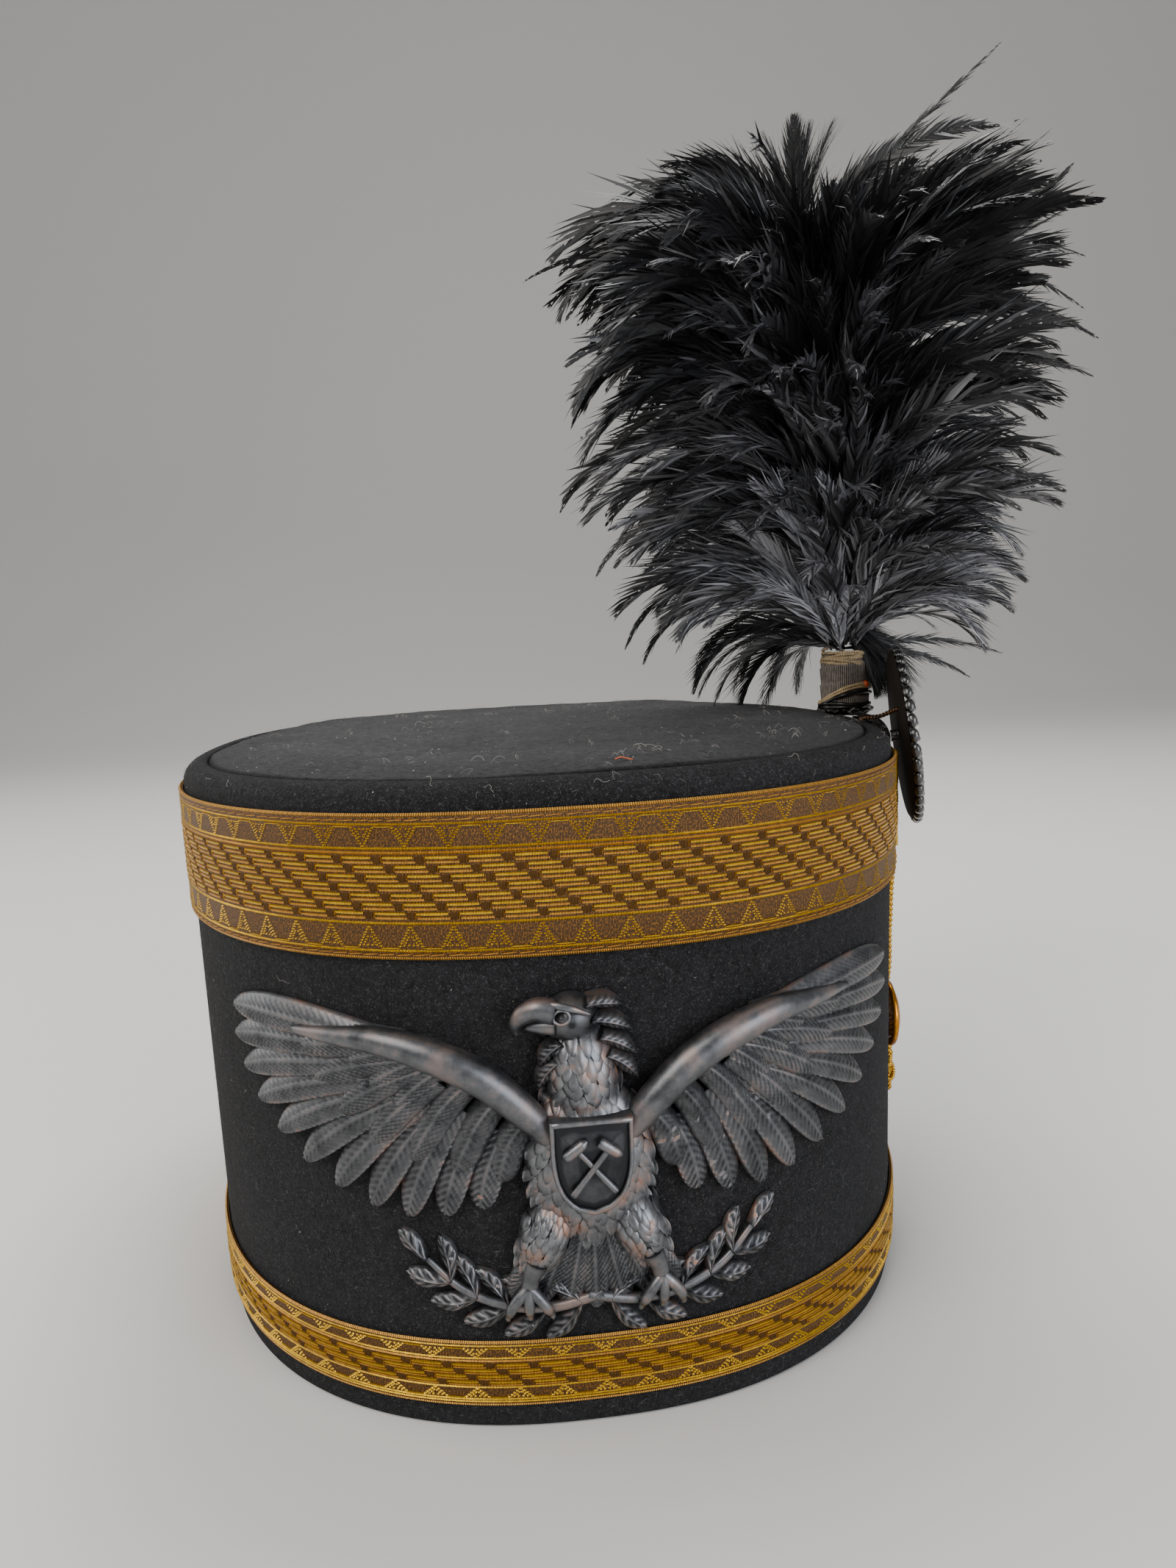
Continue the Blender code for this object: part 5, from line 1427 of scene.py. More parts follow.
def gilt_brass(name, settings):
    """Gilt brass gone amber: polished on its dome, browner in patches, finely scratched."""
    made, tree, shader = blank_material(name, Metallic=1.0)
    place = node(tree, "ShaderNodeTexCoord").outputs["Object"]
    patches = node(tree, "ShaderNodeTexNoise", {"Vector": place, "Scale": 260.0, "Detail": 6.0})
    scratch = node(tree, "ShaderNodeTexNoise",
                   {"Vector": place, "Scale": 1800.0, "Detail": 2.0, "Distortion": 2.0})
    share = node(tree, "ShaderNodeMapRange", {0: patches, 1: 0.35, 2: 0.65})
    mixed = node(tree, "ShaderNodeMix", {0: share, 6: rgba(settings.brass_colour),
                                         7: rgba(linear("#8a5212"))}, data_type="RGBA")
    rough = node(tree, "ShaderNodeMapRange", {0: patches, 1: 0.3, 2: 0.7, 3: 0.16, 4: 0.34})
    bump = node(tree, "ShaderNodeBump", {"Height": scratch, "Strength": 0.15, "Distance": 0.0001})
    feed(shader, {"Base Color": mixed.outputs[2], "Roughness": rough, "Normal": bump})
    return made


def strip_grid(path, half_width, thickness):
    """A flat strap on the side line, as a closed tube: its back follows (out, height)
    points, and its face stands off by the thickness, rounded at its edges."""
    path = np.asarray(path, float)
    way = unit(np.gradient(path, axis=0))
    off = np.stack([way[:, 1], -way[:, 0]], -1)
    across = np.linspace(-1.0, 1.0, 9)
    front = thickness * (1 - 0.35 * np.abs(across) ** 6)
    over = np.concatenate([across, across[::-1]])
    lift = np.concatenate([front, 0 * front])
    spots = path[:, None] + off[:, None] * lift[:, None]
    return at_side(spots[..., 0], spots[..., 1], half_width * over)


def tab_path():
    """The tab's way: up the wall over the lace, then over the round of the rim."""
    rim, top = RIM_ROUND / MM, HAT_HEIGHT / MM
    straight = np.stack([np.full(40, TAB_BACK), np.linspace(97.2, top - rim, 40)], -1)
    turned = np.radians(np.linspace(6, 80, 20))
    radius = rim + TAB_BACK - (TAB_BACK - 0.45) * turned / math.radians(80)
    over = np.stack([radius * np.cos(turned) - rim, top - rim + radius * np.sin(turned)], -1)
    return np.concatenate([straight, over])


def twisted(middle, references, radius, offset, turns, around):
    """One strand of a twist: a tube that circles the midline at a distance, by these
    turns. The references are the directions that the circle and the tube start from."""
    _, side, normal = path_frames(middle, references[0])
    turns = turns[:, None]
    path = middle + offset * (np.cos(turns) * side + np.sin(turns) * normal)
    return tube_grid(path, radius, around, references[1])


def strand(path, radius, offset, waves, phase, steps, around):
    """One strand of a twisted cord along a smoothed path, a whole number of waves."""
    run = run_along(path)
    t = np.linspace(0.0, run[-1], steps)
    turns = 2 * math.pi * waves * t / run[-1] + phase
    references = (SIDE_BACK * 0.2 + SIDE_OUT, SIDE_OUT + SIDE_BACK * 0.13)
    return twisted(smooth_path(path, run, t), references, radius, offset, turns, around)


def add_thread(shape, grid, radius, kind=0):
    """Adds a tube whose UVs are the way along it and round it, in millimetres. The
    radius is in metres."""
    round_it = np.linspace(0.0, 2 * math.pi * radius / MM, grid.shape[1] + 1)
    shape.rods(grid, lattice(run_along(grid.mean(1)) / MM, round_it), kind)


def make_strap(settings):
    """The leather tab over the rim, with the flat braid of gold strands on it. Each
    strand weaves in and out as a sine, and its neighbour does the opposite."""
    leather = patent_leather("Tab leather", settings)
    tab = Surfaces()
    tab.rods(strip_grid(tab_path(), TAB_HALF_WIDTH, TAB_THICK))
    tab.piece("rosette_tab", "black_leather", [leather], ["cockade_tab"], sharp=60.0)

    bright = wound_thread("Braid gold thread", linear("#8a5a0c"), settings.cord_colour, 0.36,
                          Metallic=0.7, Roughness=0.36)
    brown = wound_thread("Braid brown thread", linear("#2e1c0b"), linear("#7a5522"), 0.36, Roughness=0.6)
    braid = Surfaces()
    steps = 90
    height = np.linspace(98.6, 123.9, steps)
    swell = 1 + 0.12 * np.cos(np.linspace(0, 60 * math.pi, steps))
    for k, across in enumerate(np.linspace(-3.6, 3.6, 7)):
        wave = 0.22 * np.sin(np.linspace(0, 9 * math.pi, steps) + k * math.pi)
        path = at_side(BRAID_BACK + 1.05 + 0.4 * wave, height, across + 0.5 * wave)
        grid = tube_grid(path, STRAND_RADIUS * swell, 8, SIDE_OUT)
        add_thread(braid, grid, STRAND_RADIUS, k % 2)
    base = np.stack([np.full(20, BRAID_BACK), np.linspace(98.5, 124.0, 20)], -1)
    braid.rods(strip_grid(base, 4.3, 0.8), kind=1)
    braid.piece("gold_braid", "gold_lace", [bright, brown], ["braid_loop"], sharp=60.0)


def cord_path():
    """The doubled cord's midline: up one side, round a half circle and down the other."""
    heights, outwards = np.array(CORD_ROUTE).T
    turns = np.linspace(0.0, math.pi, 7)[1:-1]
    across = np.full(len(heights), CORD_HALF_GAP)
    return at_side(
        np.concatenate([outwards, np.full(len(turns), outwards[-1]), outwards[::-1]]),
        np.concatenate([heights, heights[-1] + CORD_HALF_GAP * np.sin(turns), heights[::-1]]),
        np.concatenate([-across, -CORD_HALF_GAP * np.cos(turns), across]),
    )


def make_cord(settings):
    """The doubled gold cord, each side twisted of two strands, and the wound knot: five
    tilted rings round a core, with the cord's two ends above and short ends below."""
    gold = wound_thread("Cord gold thread", linear("#94620e"), settings.cord_colour, 0.5,
                        Metallic=0.7, Roughness=0.34)
    cord = Surfaces()
    for phase in (0.0, math.pi):
        grid = strand(cord_path(), STRAND_RADIUS, STRAND_OFFSET, 40, phase, steps=440, around=6)
        add_thread(cord, grid, STRAND_RADIUS)
    cord.piece("twisted_cord", "gold_lace", [gold], ["side_cord"], sharp=60.0)

    knot = Surfaces()
    turns = full_turn(40)
    for tilt in np.arange(5) * math.pi / 5:
        back = 1.75 * np.cos(tilt) * np.sin(turns) + 1.5 * np.sin(tilt) * np.cos(turns)
        path = at_side(KNOT[0] + 1.35 * np.cos(turns), KNOT[1] + 2.2 * np.sin(turns), back)
        grid = tube_grid(np.concatenate([path, path[:2]]), 0.00055, 8, (0.3, 0.4, 0.85))[: len(path)]
        knot.add(grid, lattice(np.linspace(0, 12, 41), np.linspace(0, 3.4, 9)), wrap=(True, True))
    knot.rods(at_side(*KNOT) + dome_ball(1.15) * MM)
    for hand, foot in ((-1, 29.4), (1, 30.3)):
        path = at_side((4.1, 4.0, 4.0), (33.6, 31.6, foot), (hand * 0.4, hand * 0.9, hand * 1.3))
        for phase in (0.0, math.pi):
            add_thread(knot, strand(path, END_RADIUS, END_OFFSET, 3, phase, steps=50, around=7), END_RADIUS)
    for hand in (-1, 1):
        path = at_side((4.1, 4.1, 4.1), (39.2, 37.6, 36.0), (hand * 1.35, hand * 1.1, hand * 0.7))
        path = smooth_path(path, np.array((0.0, 1.0, 2.0)), np.linspace(0, 2, 16))
        add_thread(knot, tube_grid(path, 0.00085, 8, SIDE_OUT), 0.00085)
    knot.piece("wound_knot", "gold_lace", [gold], ["cord_knot"], sharp=60.0)


def dome_ball(radius, rows=10, around=16):
    """A ball of that radius, as rings from pole to pole."""
    level = np.linspace(-math.pi / 2 + 0.1, math.pi / 2 - 0.1, rows)[:, None]
    turns = full_turn(around)
    return radius * np.stack([np.cos(level) * np.cos(turns), np.cos(level) * np.sin(turns),
                              np.sin(level) + 0 * turns], -1)


def turned_grid(profile, around, wave=None):
    """A profile of (radius, height) points turned about Z. wave returns a changed radius
    and height, by turn."""
    profile = np.asarray(profile, float)
    turns = full_turn(around)
    radius = profile[:, :1] + 0 * turns
    height = profile[:, 1:] + 0 * turns
    if wave is not None:
        radius, height = wave(radius, height, turns)
    return np.stack([radius * np.cos(turns), radius * np.sin(turns), height], -1)


def facing_out(grid, place, turned, tilt):
    """Points a turned grid's Z axis out of the wall, turned in plan and tilted up."""
    lean = Matrix.Rotation(turned, 3, "Z") @ Matrix.Rotation(math.pi / 2 - tilt, 3, "Y")
    return grid @ np.array(lean).T + place


def make_button(settings):
    """The domed button: a polished dome in a rolled rim, on a flat back."""
    radius, height, back, rise = BUTTON
    radius, rise, foot = radius * MM, rise * MM, 0.0011
    angles = np.linspace(0.03, math.pi / 2, 20)
    dome = [(0.86 * radius * math.sin(a), foot + (rise - foot) * math.cos(a)) for a in angles]
    edge = [(0.90, 0.0008), (0.93, 0.0013), (0.965, 0.0015), (1.0, 0.0010), (1.0, 0.0005), (0.97, 0.0),
            (0.02, 0.0)]
    grid = turned_grid(dome + [(share * radius, z) for share, z in edge], 72)
    turned = math.atan2(SIDE_OUT[1], SIDE_OUT[0])
    shape = Surfaces()
    shape.rods(facing_out(grid, at_side(back, height), turned, 0.0))
    brass = gilt_brass("Amber gilt brass", settings)
    shape.piece("domed_button", "gilt_brass", [brass], ["side_button"], sharp=50.0)


def rosette_wave(radius, height, turns):
    """Pleats: the ring between boss and edge folds up and down, in a skewed cosine that
    leans like laid pleats, and the edge scallops with it."""
    share = np.clip((radius - PLEATS_START) / PLEATS_WIDE, 0, 1)
    window = np.clip(share * 6, 0, 1) * (height > -0.0009)
    fold = np.cos(PLEATS * turns + 0.9 * np.sin(PLEATS * turns) + 2.2 * share)
    return radius * (1 + 0.012 * fold * np.clip(share * 3 - 2, 0, 1)), height + 0.00055 * fold * window


def edge_beads():
    """The beads round the rosette's edge: one ball, drawn out along the edge, turned to
    its place on the ring."""
    x, y, z = np.moveaxis(dome_ball(1.0, 8, 12) * (0.0010, 0.0019, 0.0012), -1, 0)
    turns = full_turn(BEADS)[:, None, None]
    cosine, sine = np.cos(turns), np.sin(turns)
    beads = np.broadcast_arrays(
        cosine * x - sine * y + BEAD_RING * cosine, sine * x + cosine * y + BEAD_RING * sine, z + 0.0001
    )
    return np.stack(beads, -1)


def make_rosette(settings):
    """The rosette: a boss, pleated patent leather rings, a beaded edge and a plain back,
    with the wire that ties it to the rim."""
    face = [(0.0003, 0.0030), (0.0020, 0.0029), (0.0040, 0.0024), (0.0054, 0.0016), (PLEATS_START, 0.0009)]
    for radius in np.linspace(0.0068, 0.0212, 12):
        face.append((radius, 0.0010 + 0.0007 * math.sin((radius - PLEATS_START) / 0.0150 * math.pi)))
    face += [(0.0222, 0.0010), (0.0228, 0.0004), (0.0224, -0.0008), (0.0200, -0.0010), (0.0003, -0.0010)]
    back = ((0.0003, -0.0008), (0.0222, -0.0008), (0.0226, -0.0011), (0.0216, -0.0016), (0.0003, -0.0016))
    shank = ((0.0002, -0.0011), (0.0016, -0.0011), (0.0016, -0.0037), (0.0002, -0.0037))
    shape = Surfaces()
    for grid, kind in ((turned_grid(face, 8 * PLEATS, rosette_wave), 0), (edge_beads(), 0),
                       (turned_grid(back, 96), 1), (turned_grid(shank, 24), 0)):
        shape.rods(facing_out(grid, at_side(*ROSETTE), ROSETTE_TURN, ROSETTE_TILT), kind=kind)
    leather = patent_leather("Rosette patent leather", settings)
    backing = toned("Rough hide backing", linear("#0c0a08"), linear("#241c15"), Roughness=0.85,
                    Specular_IOR_Level=0.15)
    shape.piece("pleated_rosette", "black_leather", [leather, backing], ["cockade"], sharp=55.0)

    wire = Surfaces()
    route = at_side(*np.array(WIRE_ROUTE).T)
    middle = smooth_path(route, np.arange(7.0), np.linspace(0, 6, 90))
    for phase in (0.0, math.pi):
        turns = np.linspace(0, 14 * math.pi, 90) + phase
        grid = twisted(middle, (SIDE_BACK, SIDE_BACK), WIRE_RADIUS, WIRE_OFFSET, turns, 8)
        add_thread(wire, grid, WIRE_RADIUS)
    rust = wound_thread("Dull twisted wire", linear("#1d140d"), linear("#6b4a30"), 1.1,
                        Metallic=0.6, Roughness=0.5)
    wire.piece("tie_wire", "iron_wire", [rust], ["cockade_tie"], sharp=60.0)


# ---------------------------------------------------------------- the plume's stem

FRONT = math.atan2(-0.946, -0.324)  # the turn of the stem's side that the photo shows
TAPE, THREAD, WAX, SEAL = range(4)  # numbers of the stem's materials
TAPE_RADIUS = 0.0066
WAD = (0.0073, 0.1316, 0.0030)  # radius, height of its foot, how high it is

# Threads round the stem: distance from its axis, radius, material, turns round it,
# heights of its ends, rise of its tilt, and the turns where it is highest and starts.
SLINGS = (
    (0.0058, 0.00048, THREAD, 3.3, 0.1468, 0.1490, 0.0005, FRONT + 1.4, 0.0),
    (0.0064, 0.00044, THREAD, 2.1, 0.1458, 0.1474, 0.0008, FRONT - 1.2, 2.0),
    (0.0060, 0.00040, THREAD, 1.4, 0.1482, 0.1497, 0.0009, FRONT - 0.4, 1.0),
    (0.0070, 0.00052, THREAD, 0.62, 0.1375, 0.1375, 0.0030, FRONT + 0.95, FRONT - 1.7),
    (0.0072, 0.00036, THREAD, 0.55, 0.1368, 0.1370, 0.0028, FRONT + 0.95, FRONT - 1.6),
    (0.0072, 0.00050, WAX, 0.5, 0.1360, 0.1362, 0.0022, FRONT + 0.9, FRONT - 1.3),
    (0.0068, 0.00062, WAX, 2.6, 0.1332, 0.1352, 0.0006, FRONT - 0.4, 0.3),
)


def wound_tape():
    """The tape: a tube whose radius grows over each of its overlapping turns as a
    sawtooth, and narrows at both ends. Returns the grid and its UVs."""
    low, high = HAT_HEIGHT + 0.0011, STEM_TOP
    share = np.linspace(0.0, 1.0, 46)[:, None]
    turns = full_turn(72)
    lap = (share * 3.4 - turns / (2 * math.pi)) % 1.0
    radius = TAPE_RADIUS + 0.00035 * lap - 0.0011 * np.clip((0.08 - share) / 0.08, 0, 1) ** 2
    radius = radius - 0.0013 * np.clip((share - 0.80) / 0.2, 0, 1) ** 0.8
    height = low + (high - low) * share
    grid = np.stack([radius * np.cos(turns), radius * np.sin(turns), height + 0 * turns], -1)
    return grid + STEM_PLACE, lattice(height[:, 0] / MM, np.linspace(0, 44, 73))


def sling(reach, radius, turns_round, foot, top, tilt, highest, begin):
    """A thread round the stem from foot to top, tilted up towards the turn called
    highest, and a little uneven by slow sines."""
    t = np.linspace(0.0, 1.0, 150)
    turn = 2 * math.pi * turns_round * t + begin
    away = reach + 0.00012 * np.sin(5.3 * turn)
    height = foot + (top - foot) * t + tilt * np.cos(turn - highest) + 0.0002 * np.sin(2.7 * turn)
    path = np.stack([away * np.cos(turn), away * np.sin(turn), height], -1) + STEM_PLACE
    return tube_grid(path, radius * (1 + 0.18 * np.sin(9.1 * turn)), 8)


def wax_wad():
    """The waxed wad at the stem's foot: a barrel, lumpy by three sines."""
    size, foot, high = WAD
    rings = np.linspace(0.0, 1.0, 9)[:, None]
    turns = full_turn(72)
    lumps = 1 + 0.07 * np.sin(5 * turns + 2.0) + 0.06 * np.sin(11 * turns + 7 * rings)
    lumps = lumps + 0.04 * np.sin(23 * turns - 9 * rings)
    radius = size * np.sin(math.pi * (0.12 + 0.76 * rings)) ** 0.35 * lumps
    height = foot + high * rings + 0 * turns
    return np.stack([radius * np.cos(turns), radius * np.sin(turns), height], -1) + STEM_PLACE


def make_stem(settings):
    """The plume's stem: woven tape wound round it in overlapping turns, thread windings
    at the top, a twisted thread slung across it, and the plain socket below."""
    tape = wound_thread("Woven cotton tape", linear("#1f1c19"), settings.tape_colour, 0.55,
                        along=1, depth=0.0001, Roughness=0.85, Specular_IOR_Level=0.2)
    thread = wound_thread("Waxed linen thread", linear("#6d5535"), settings.thread_colour, 0.45,
                          Roughness=0.55)
    wax = toned("Black waxed wad", linear("#0b0a0a"), linear("#1b1918"), Roughness=0.35)
    seal = toned("Orange sealing wax", linear("#b8401c"), linear("#d9602c"), Roughness=0.4)
    stem = Surfaces()
    stem.rods(*wound_tape(), kind=TAPE)
    for reach, radius, kind, *way in SLINGS:
        add_thread(stem, sling(reach, radius, *way), radius, kind)
    spot = STEM_PLACE + (0.0072 * math.cos(FRONT + 0.92), 0.0072 * math.sin(FRONT + 0.92), 0.1403)
    stem.rods(spot + dome_ball(1.0, 8, 12) * (0.0009, 0.0010, 0.0011), kind=SEAL)
    stem.rods(wax_wad(), kind=WAX)
    stem.piece("wound_stem", "cloth_tape", [tape, thread, wax, seal], ["plume_stem"], sharp=60.0)

    inner, outer, foot, mouth, bevel = 0.0021, 0.0034, 0.0965, 0.1310, 0.0003
    profile = [
        (inner, mouth - 0.0004), (inner + bevel, mouth), (outer - bevel, mouth), (outer, mouth - 0.0004),
        (outer, foot + bevel), (outer - bevel, foot), (inner + 0.0002, foot), (inner, foot + bevel),
    ]
    place = HAT_CENTRE + (HALF_WIDTH + LACE_FACE + 0.0003 + outer, 0.0015, 0.0)
    socket = Surfaces()
    socket.add(turned_grid(profile, 40) + place, wrap=(True, True))
    socket.piece("leather_socket", "black_leather", [patent_leather("Socket leather", settings)],
                 ["plume_socket"])


# ---------------------------------------------------------------- floor, light, camera

CAMERA_PLACE = (-0.0491, -0.2978, 0.1584)
CAMERA_TURN = -0.1051  # to the right of straight back, in radians
CAMERA_DIP = 0.1393
CAMERA_ROLL = -0.0443

BEND_START, BEND_RADIUS = 1.4, 1.1  # of the floor's sweep up behind, in metres


def make_floor(settings):
    """A sheet of studio paper: flat, then a quarter circle up, then straight up."""
    rows, columns = 60, 24
    run = np.linspace(-6.0, 3.6, rows)
    bend = np.clip((run - BEND_START) / BEND_RADIUS, 0, 2)
    turn = np.clip(bend, 0, 1) * math.pi / 2
    y = np.where(run < BEND_START, run, BEND_START + BEND_RADIUS * np.sin(turn))
    z = np.where(run < BEND_START, 0.0, BEND_RADIUS * (1 - np.cos(turn)))
    z = z + np.where(bend > 1, (bend - 1) * 2.4, 0.0)
    x = np.linspace(-15.0, 15.0, columns)
    points = np.stack(np.broadcast_arrays(x, y[:, None], z[:, None]), -1)
    corner = np.arange(rows * columns).reshape(rows, columns)
    faces = np.stack([corner[:-1, :-1], corner[:-1, 1:], corner[1:, 1:], corner[1:, :-1]], -1)
    mesh = bpy.data.meshes.new("studio_floor")
    mesh.from_pydata(points.reshape(-1, 3).tolist(), [], faces.reshape(-1, 4).tolist())
    mesh.shade_smooth()
    paper = blank_material("Matt studio paper", Roughness=0.9, Base_Color=rgba(settings.floor_colour))[0]
    mesh.materials.append(paper)
    floor = bpy.data.objects.new("studio_floor", mesh)
    bpy.context.scene.collection.objects.link(floor)


def make_lights(settings):
    """Four square softboxes, and even light from the sky."""
    lights = (  # name, place, target, size, power, colour
        ("key softbox", (-0.75, -0.75, 1.05), (0.0, 0.0, 0.10), 0.8, settings.key_power, "#fffaf2"),
        ("fill softbox", (0.75, -1.0, 0.40), (0.0, 0.0, 0.14), 0.9, settings.fill_power, "#f4f8ff"),
        ("side softbox", (-1.25, 0.35, 0.45), (0.0, 0.0, 0.12), 0.8, settings.side_power, "#fffdf8"),
        ("top softbox", (0.15, 0.45, 1.15), (0.0, 0.0, 0.15), 0.7, settings.top_power, "#ffffff"),
    )
    for name, place, target, size, power, colour in lights:
        lamp = bpy.data.lights.new(name, "AREA")
        lamp.shape = "SQUARE"
        lamp.size = size
        lamp.energy = power
        lamp.color = linear(colour)
        made = bpy.data.objects.new(name, lamp)
        aim = unit(np.array(target) - np.array(place))
        turn = math.atan2(aim[1], aim[0]) - math.pi / 2
        made.rotation_euler = (math.pi / 2 + math.asin(aim[2]), 0.0, turn)
        made.location = place
        bpy.context.scene.collection.objects.link(made)
    world = bpy.data.worlds.new("Studio")
    world.use_nodes = True
    sky = world.node_tree.nodes["Background"]
    sky.inputs["Color"].default_value = rgba(linear("#e4e3e2"))
    sky.inputs["Strength"].default_value = settings.sky_strength
    bpy.context.scene.world = world


def make_camera(settings):
    """The camera that the photo was taken with, turned to the right, dipped and rolled."""
    lens = bpy.data.cameras.new("photo_camera")
    lens.sensor_fit = "VERTICAL"
    lens.sensor_height = 36.0
    lens.lens = settings.lens
    lens.clip_start = 0.01
    camera = bpy.data.objects.new("photo_camera", lens)
    camera.location = CAMERA_PLACE
    yaw, dip, roll = CAMERA_TURN, CAMERA_DIP, CAMERA_ROLL
    ahead = np.array((-math.sin(yaw) * math.cos(dip), math.cos(yaw) * math.cos(dip), -math.sin(dip)))
    right = np.array((math.cos(yaw), math.sin(yaw), 0.0))
    up = np.cross(right, ahead)
    across = math.cos(roll) * right + math.sin(roll) * up
    up = -math.sin(roll) * right + math.cos(roll) * up
    camera.rotation_euler = Matrix(np.stack([across, up, -ahead], axis=1).tolist()).to_euler()
    bpy.context.scene.collection.objects.link(camera)
    bpy.context.scene.camera = camera


def make_stage(settings):
    """A pale floor that sweeps up behind, soft studio lights, and the photo's camera."""
    make_floor(settings)
    make_lights(settings)
    make_camera(settings)


# ---------------------------------------------------------------- sizes and colours


def colour_value(name, description, hex_colour):
    """A colour that the user can change, with its default as an sRGB hex value."""
    return FloatVectorProperty(
        name=name, description=description, default=linear(hex_colour), size=3, min=0.0, max=1.0,
        subtype="COLOR",
    )


def light_power(name, description, watts):
    """The power of a light."""
    return FloatProperty(name=name, description=description, default=watts, min=0.0, unit="POWER")


def how_many(name, description, count, least=0):
    """A number of things."""
    return IntProperty(name=name, description=description, default=count, min=least)


class FeltSettings(bpy.types.PropertyGroup):
    """The felt body and crown."""

    felt_colour: colour_value("Felt", "The felt between its naps", "#0e0e0f")
    # Painted light: the crown's nap is lighter than the wall's nap, standing in for top light and grazing
    # sheen on one felt.
    nap_colour: colour_value("Nap", "The raised nap of the crown", "#4c4c4e")
    wall_colour: colour_value("Wall nap", "The raised nap of the wall", "#27272a")
    hair_colour: colour_value("Hairs", "The grey fibres in the nap", "#6a6a6c")
    wall_hairs: how_many("Wall hairs", "Loose hairs on the wall", 5400)
    crown_hairs: how_many("Crown hairs", "Loose hairs on the crown", 2500)
    lint_count: how_many("Lint", "Curls of lint in tufts on the crown", 138)
    specks: how_many("Specks", "Specks of dust on the crown", 240)


class LaceSettings(bpy.types.PropertyGroup):
    """The woven gold lace."""

    # The crest colours of the threads are their lit tops: the thread's own colour with a painted highlight,
    # against the painted shade of the grooves.
    gold_colour: colour_value("Gold", "Crests of the bright metal thread", "#ffce12")
    pale_colour: colour_value("Pale gold", "Crests of the paler thread", "#fcb238")
    silk_colour: colour_value("Silk", "Flecks of gilt thread in the ground", "#94600c")
    selvage_colour: colour_value("Selvage", "The wound cords at the edges", "#dca238")
    block_colour: colour_value("Blocks", "The dark silk blocks between the bars", "#64420f")


class PlateSettings(bpy.types.PropertyGroup):
    """The cast front plate."""

    pewter_colour: colour_value("Pewter", "The metal where it is rubbed", "#8b8d91")
    hollow_colour: colour_value("Hollows", "The metal in its hollows", "#2b2c2f")
    copper_colour: colour_value("Copper", "Where the plating has worn off", "#9a6a4c")


class SideSettings(bpy.types.PropertyGroup):
    """The rosette, cord, button and stem."""

    leather_colour: colour_value("Leather", "The patent leather", "#0e0d0d")
    brass_colour: colour_value("Brass", "The button where it is bright", "#c98a2c")
    # These three are crest colours too: the thread's own colour lifted as painted highlight.
    cord_colour: colour_value("Cord", "Crests of the gold cord", "#ffd048")
    tape_colour: colour_value("Tape", "The woven tape on the stem", "#a4988f")
    thread_colour: colour_value("Thread", "The windings on the stem", "#e6cda0")


class PlumeSettings(bpy.types.PropertyGroup):
    """The plume of cock feathers."""

    feather_colour: colour_value("Feather", "The dyed feather", "#141416")
    # Partly painted sheen: the pale grey that a high tone mixes in for silvery streaks, and partly thinner
    # dye.
    thin_dye_and_sheen: colour_value("Thin dye", "Where the dye is thin", "#c2c2c8")
    feathers: how_many("Feathers", "Hackle feathers in the plume", 660, 20)
    barbs: how_many("Barbs", "Barbs on each side of a feather", 33, 8)


class StageSettings(bpy.types.PropertyGroup):
    """Floor, lights and camera."""

    floor_colour: colour_value("Floor", "The studio paper", "#d9d8d5")
    lens: FloatProperty(
        name="Lens", description="Focal length on a 36 mm high frame", default=24.905, min=5.0, unit="CAMERA"
    )
    key_power: light_power("Key", "Light from the upper left", 12.5)
    fill_power: light_power("Fill", "Light from the right", 12.5)
    side_power: light_power("Side", "Light from the left", 6.5)
    top_power: light_power("Top", "Light from above and behind", 12.0)
    sky_strength: FloatProperty(name="Sky", description="Even light from all round", default=0.50, min=0.0)


# ---------------------------------------------------------------- operators


class SHAKO_OT_stage(bpy.types.Operator):
    """Makes the floor, the lights and the camera"""

    bl_idname = "shako.stage"
    bl_label = "Stage"

    def execute(self, context):
        make_stage(context.scene.shako_stage)
        return {"FINISHED"}


class SHAKO_OT_felt_body(bpy.types.Operator):
    """Makes the felt wall with its rim"""

    bl_idname = "shako.felt_body"
    bl_label = "Felt body"

    def execute(self, context):
        make_felt_body(context.scene.shako_felt)
        return {"FINISHED"}


class SHAKO_OT_crown(bpy.types.Operator):
    """Makes the crown piece and the stitches of its seam"""

    bl_idname = "shako.crown"
    bl_label = "Crown"

    def execute(self, context):
        make_crown(context.scene.shako_felt)
        return {"FINISHED"}


class SHAKO_OT_felt_hairs(bpy.types.Operator):
    """Makes the loose hairs and lint on the felt"""

    bl_idname = "shako.felt_hairs"
    bl_label = "Felt hairs and lint"

    def execute(self, context):
        make_felt_hairs(context.scene.shako_felt)
        return {"FINISHED"}


class SHAKO_OT_laces(bpy.types.Operator):
    """Makes the two bands of gold lace"""

    bl_idname = "shako.laces"
    bl_label = "Gold lace"

    def execute(self, context):
        make_laces(context.scene.shako_lace)
        return {"FINISHED"}


class SHAKO_OT_front_plate(bpy.types.Operator):
    """Makes the cast eagle plate"""

    bl_idname = "shako.front_plate"
    bl_label = "Front plate"

    def execute(self, context):
        make_plate(context.scene.shako_plate)
        return {"FINISHED"}


class SHAKO_OT_strap(bpy.types.Operator):
    """Makes the leather tab and the gold braid"""

    bl_idname = "shako.strap"
    bl_label = "Tab and braid"

    def execute(self, context):
        make_strap(context.scene.shako_side)
        return {"FINISHED"}


class SHAKO_OT_cord(bpy.types.Operator):
    """Makes the twisted cord and its knot"""

    bl_idname = "shako.cord"
    bl_label = "Cord and knot"

    def execute(self, context):
        make_cord(context.scene.shako_side)
        return {"FINISHED"}


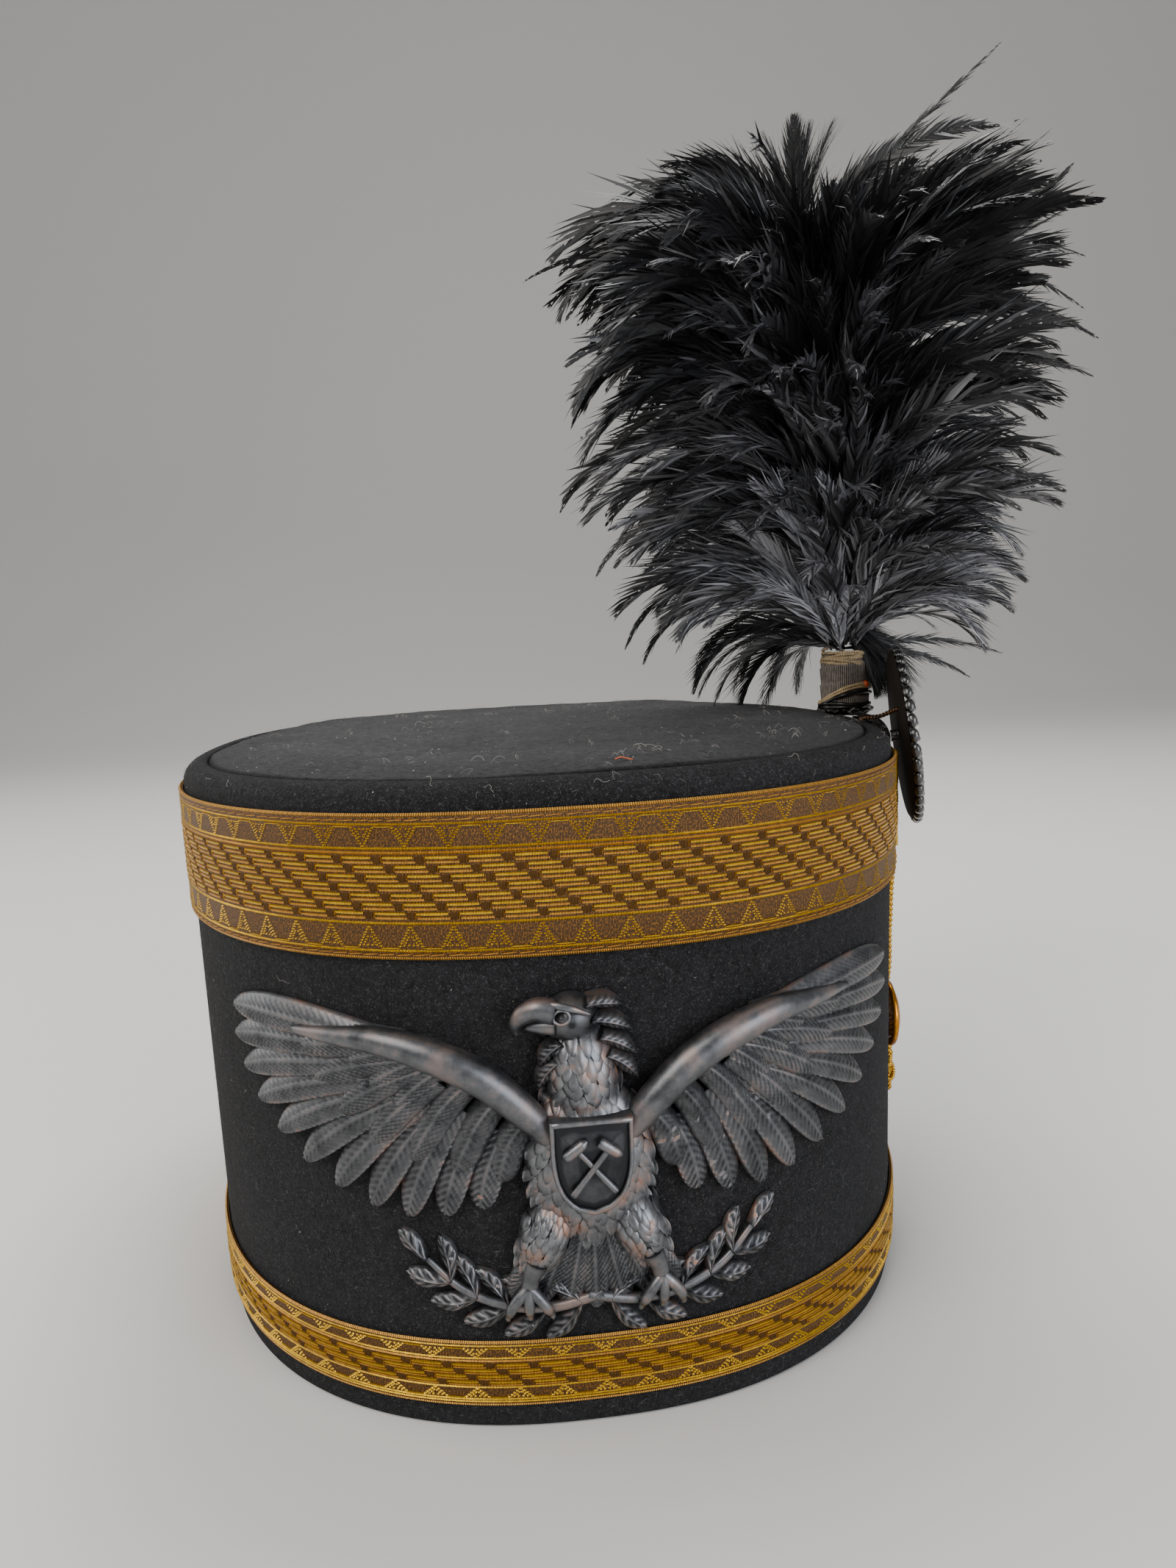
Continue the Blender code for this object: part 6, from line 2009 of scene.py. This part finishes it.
class SHAKO_OT_button(bpy.types.Operator):
    """Makes the domed button"""

    bl_idname = "shako.button"
    bl_label = "Button"

    def execute(self, context):
        make_button(context.scene.shako_side)
        return {"FINISHED"}


class SHAKO_OT_rosette(bpy.types.Operator):
    """Makes the pleated rosette and its wire"""

    bl_idname = "shako.rosette"
    bl_label = "Rosette"

    def execute(self, context):
        make_rosette(context.scene.shako_side)
        return {"FINISHED"}


class SHAKO_OT_stem(bpy.types.Operator):
    """Makes the plume's stem and socket"""

    bl_idname = "shako.stem"
    bl_label = "Stem and socket"

    def execute(self, context):
        make_stem(context.scene.shako_side)
        return {"FINISHED"}


class SHAKO_OT_plume(bpy.types.Operator):
    """Makes the plume's feathers"""

    bl_idname = "shako.plume"
    bl_label = "Plume"

    def execute(self, context):
        make_plume(context.scene.shako_plume)
        return {"FINISHED"}


SETTINGS = {
    "shako_felt": FeltSettings,
    "shako_lace": LaceSettings,
    "shako_plate": PlateSettings,
    "shako_side": SideSettings,
    "shako_plume": PlumeSettings,
    "shako_stage": StageSettings,
}
OPERATORS = (
    SHAKO_OT_stage,
    SHAKO_OT_felt_body,
    SHAKO_OT_crown,
    SHAKO_OT_felt_hairs,
    SHAKO_OT_laces,
    SHAKO_OT_front_plate,
    SHAKO_OT_strap,
    SHAKO_OT_cord,
    SHAKO_OT_button,
    SHAKO_OT_rosette,
    SHAKO_OT_stem,
    SHAKO_OT_plume,
)


class SHAKO_PT_panel(bpy.types.Panel):
    """Lists the pieces and their sizes and colours"""

    bl_label = "Shako"
    bl_idname = "SHAKO_PT_panel"
    bl_space_type = "VIEW_3D"
    bl_region_type = "UI"
    bl_category = "Shako"

    def draw(self, context):
        for name, group in SETTINGS.items():
            box = self.layout.box()
            box.label(text=group.__doc__)
            for key in group.__annotations__:
                box.prop(getattr(context.scene, name), key)
        for operator in OPERATORS:
            self.layout.operator(operator.bl_idname)


def register():
    """Registers the settings, operators and panel."""
    for group in SETTINGS.values():
        bpy.utils.register_class(group)
    for operator in OPERATORS:
        bpy.utils.register_class(operator)
    bpy.utils.register_class(SHAKO_PT_panel)
    for name, group in SETTINGS.items():
        setattr(bpy.types.Scene, name, PointerProperty(type=group))


def unregister():
    """Removes all that register added."""
    for name in SETTINGS:
        delattr(bpy.types.Scene, name)
    bpy.utils.unregister_class(SHAKO_PT_panel)
    for operator in reversed(OPERATORS):
        bpy.utils.unregister_class(operator)
    for group in reversed(list(SETTINGS.values())):
        bpy.utils.unregister_class(group)


def main():
    """Registers the add-on and makes every piece in order."""
    register()
    for operator in OPERATORS:
        group, name = operator.bl_idname.split(".")
        getattr(getattr(bpy.ops, group), name)()


if __name__ == "__main__":
    main()
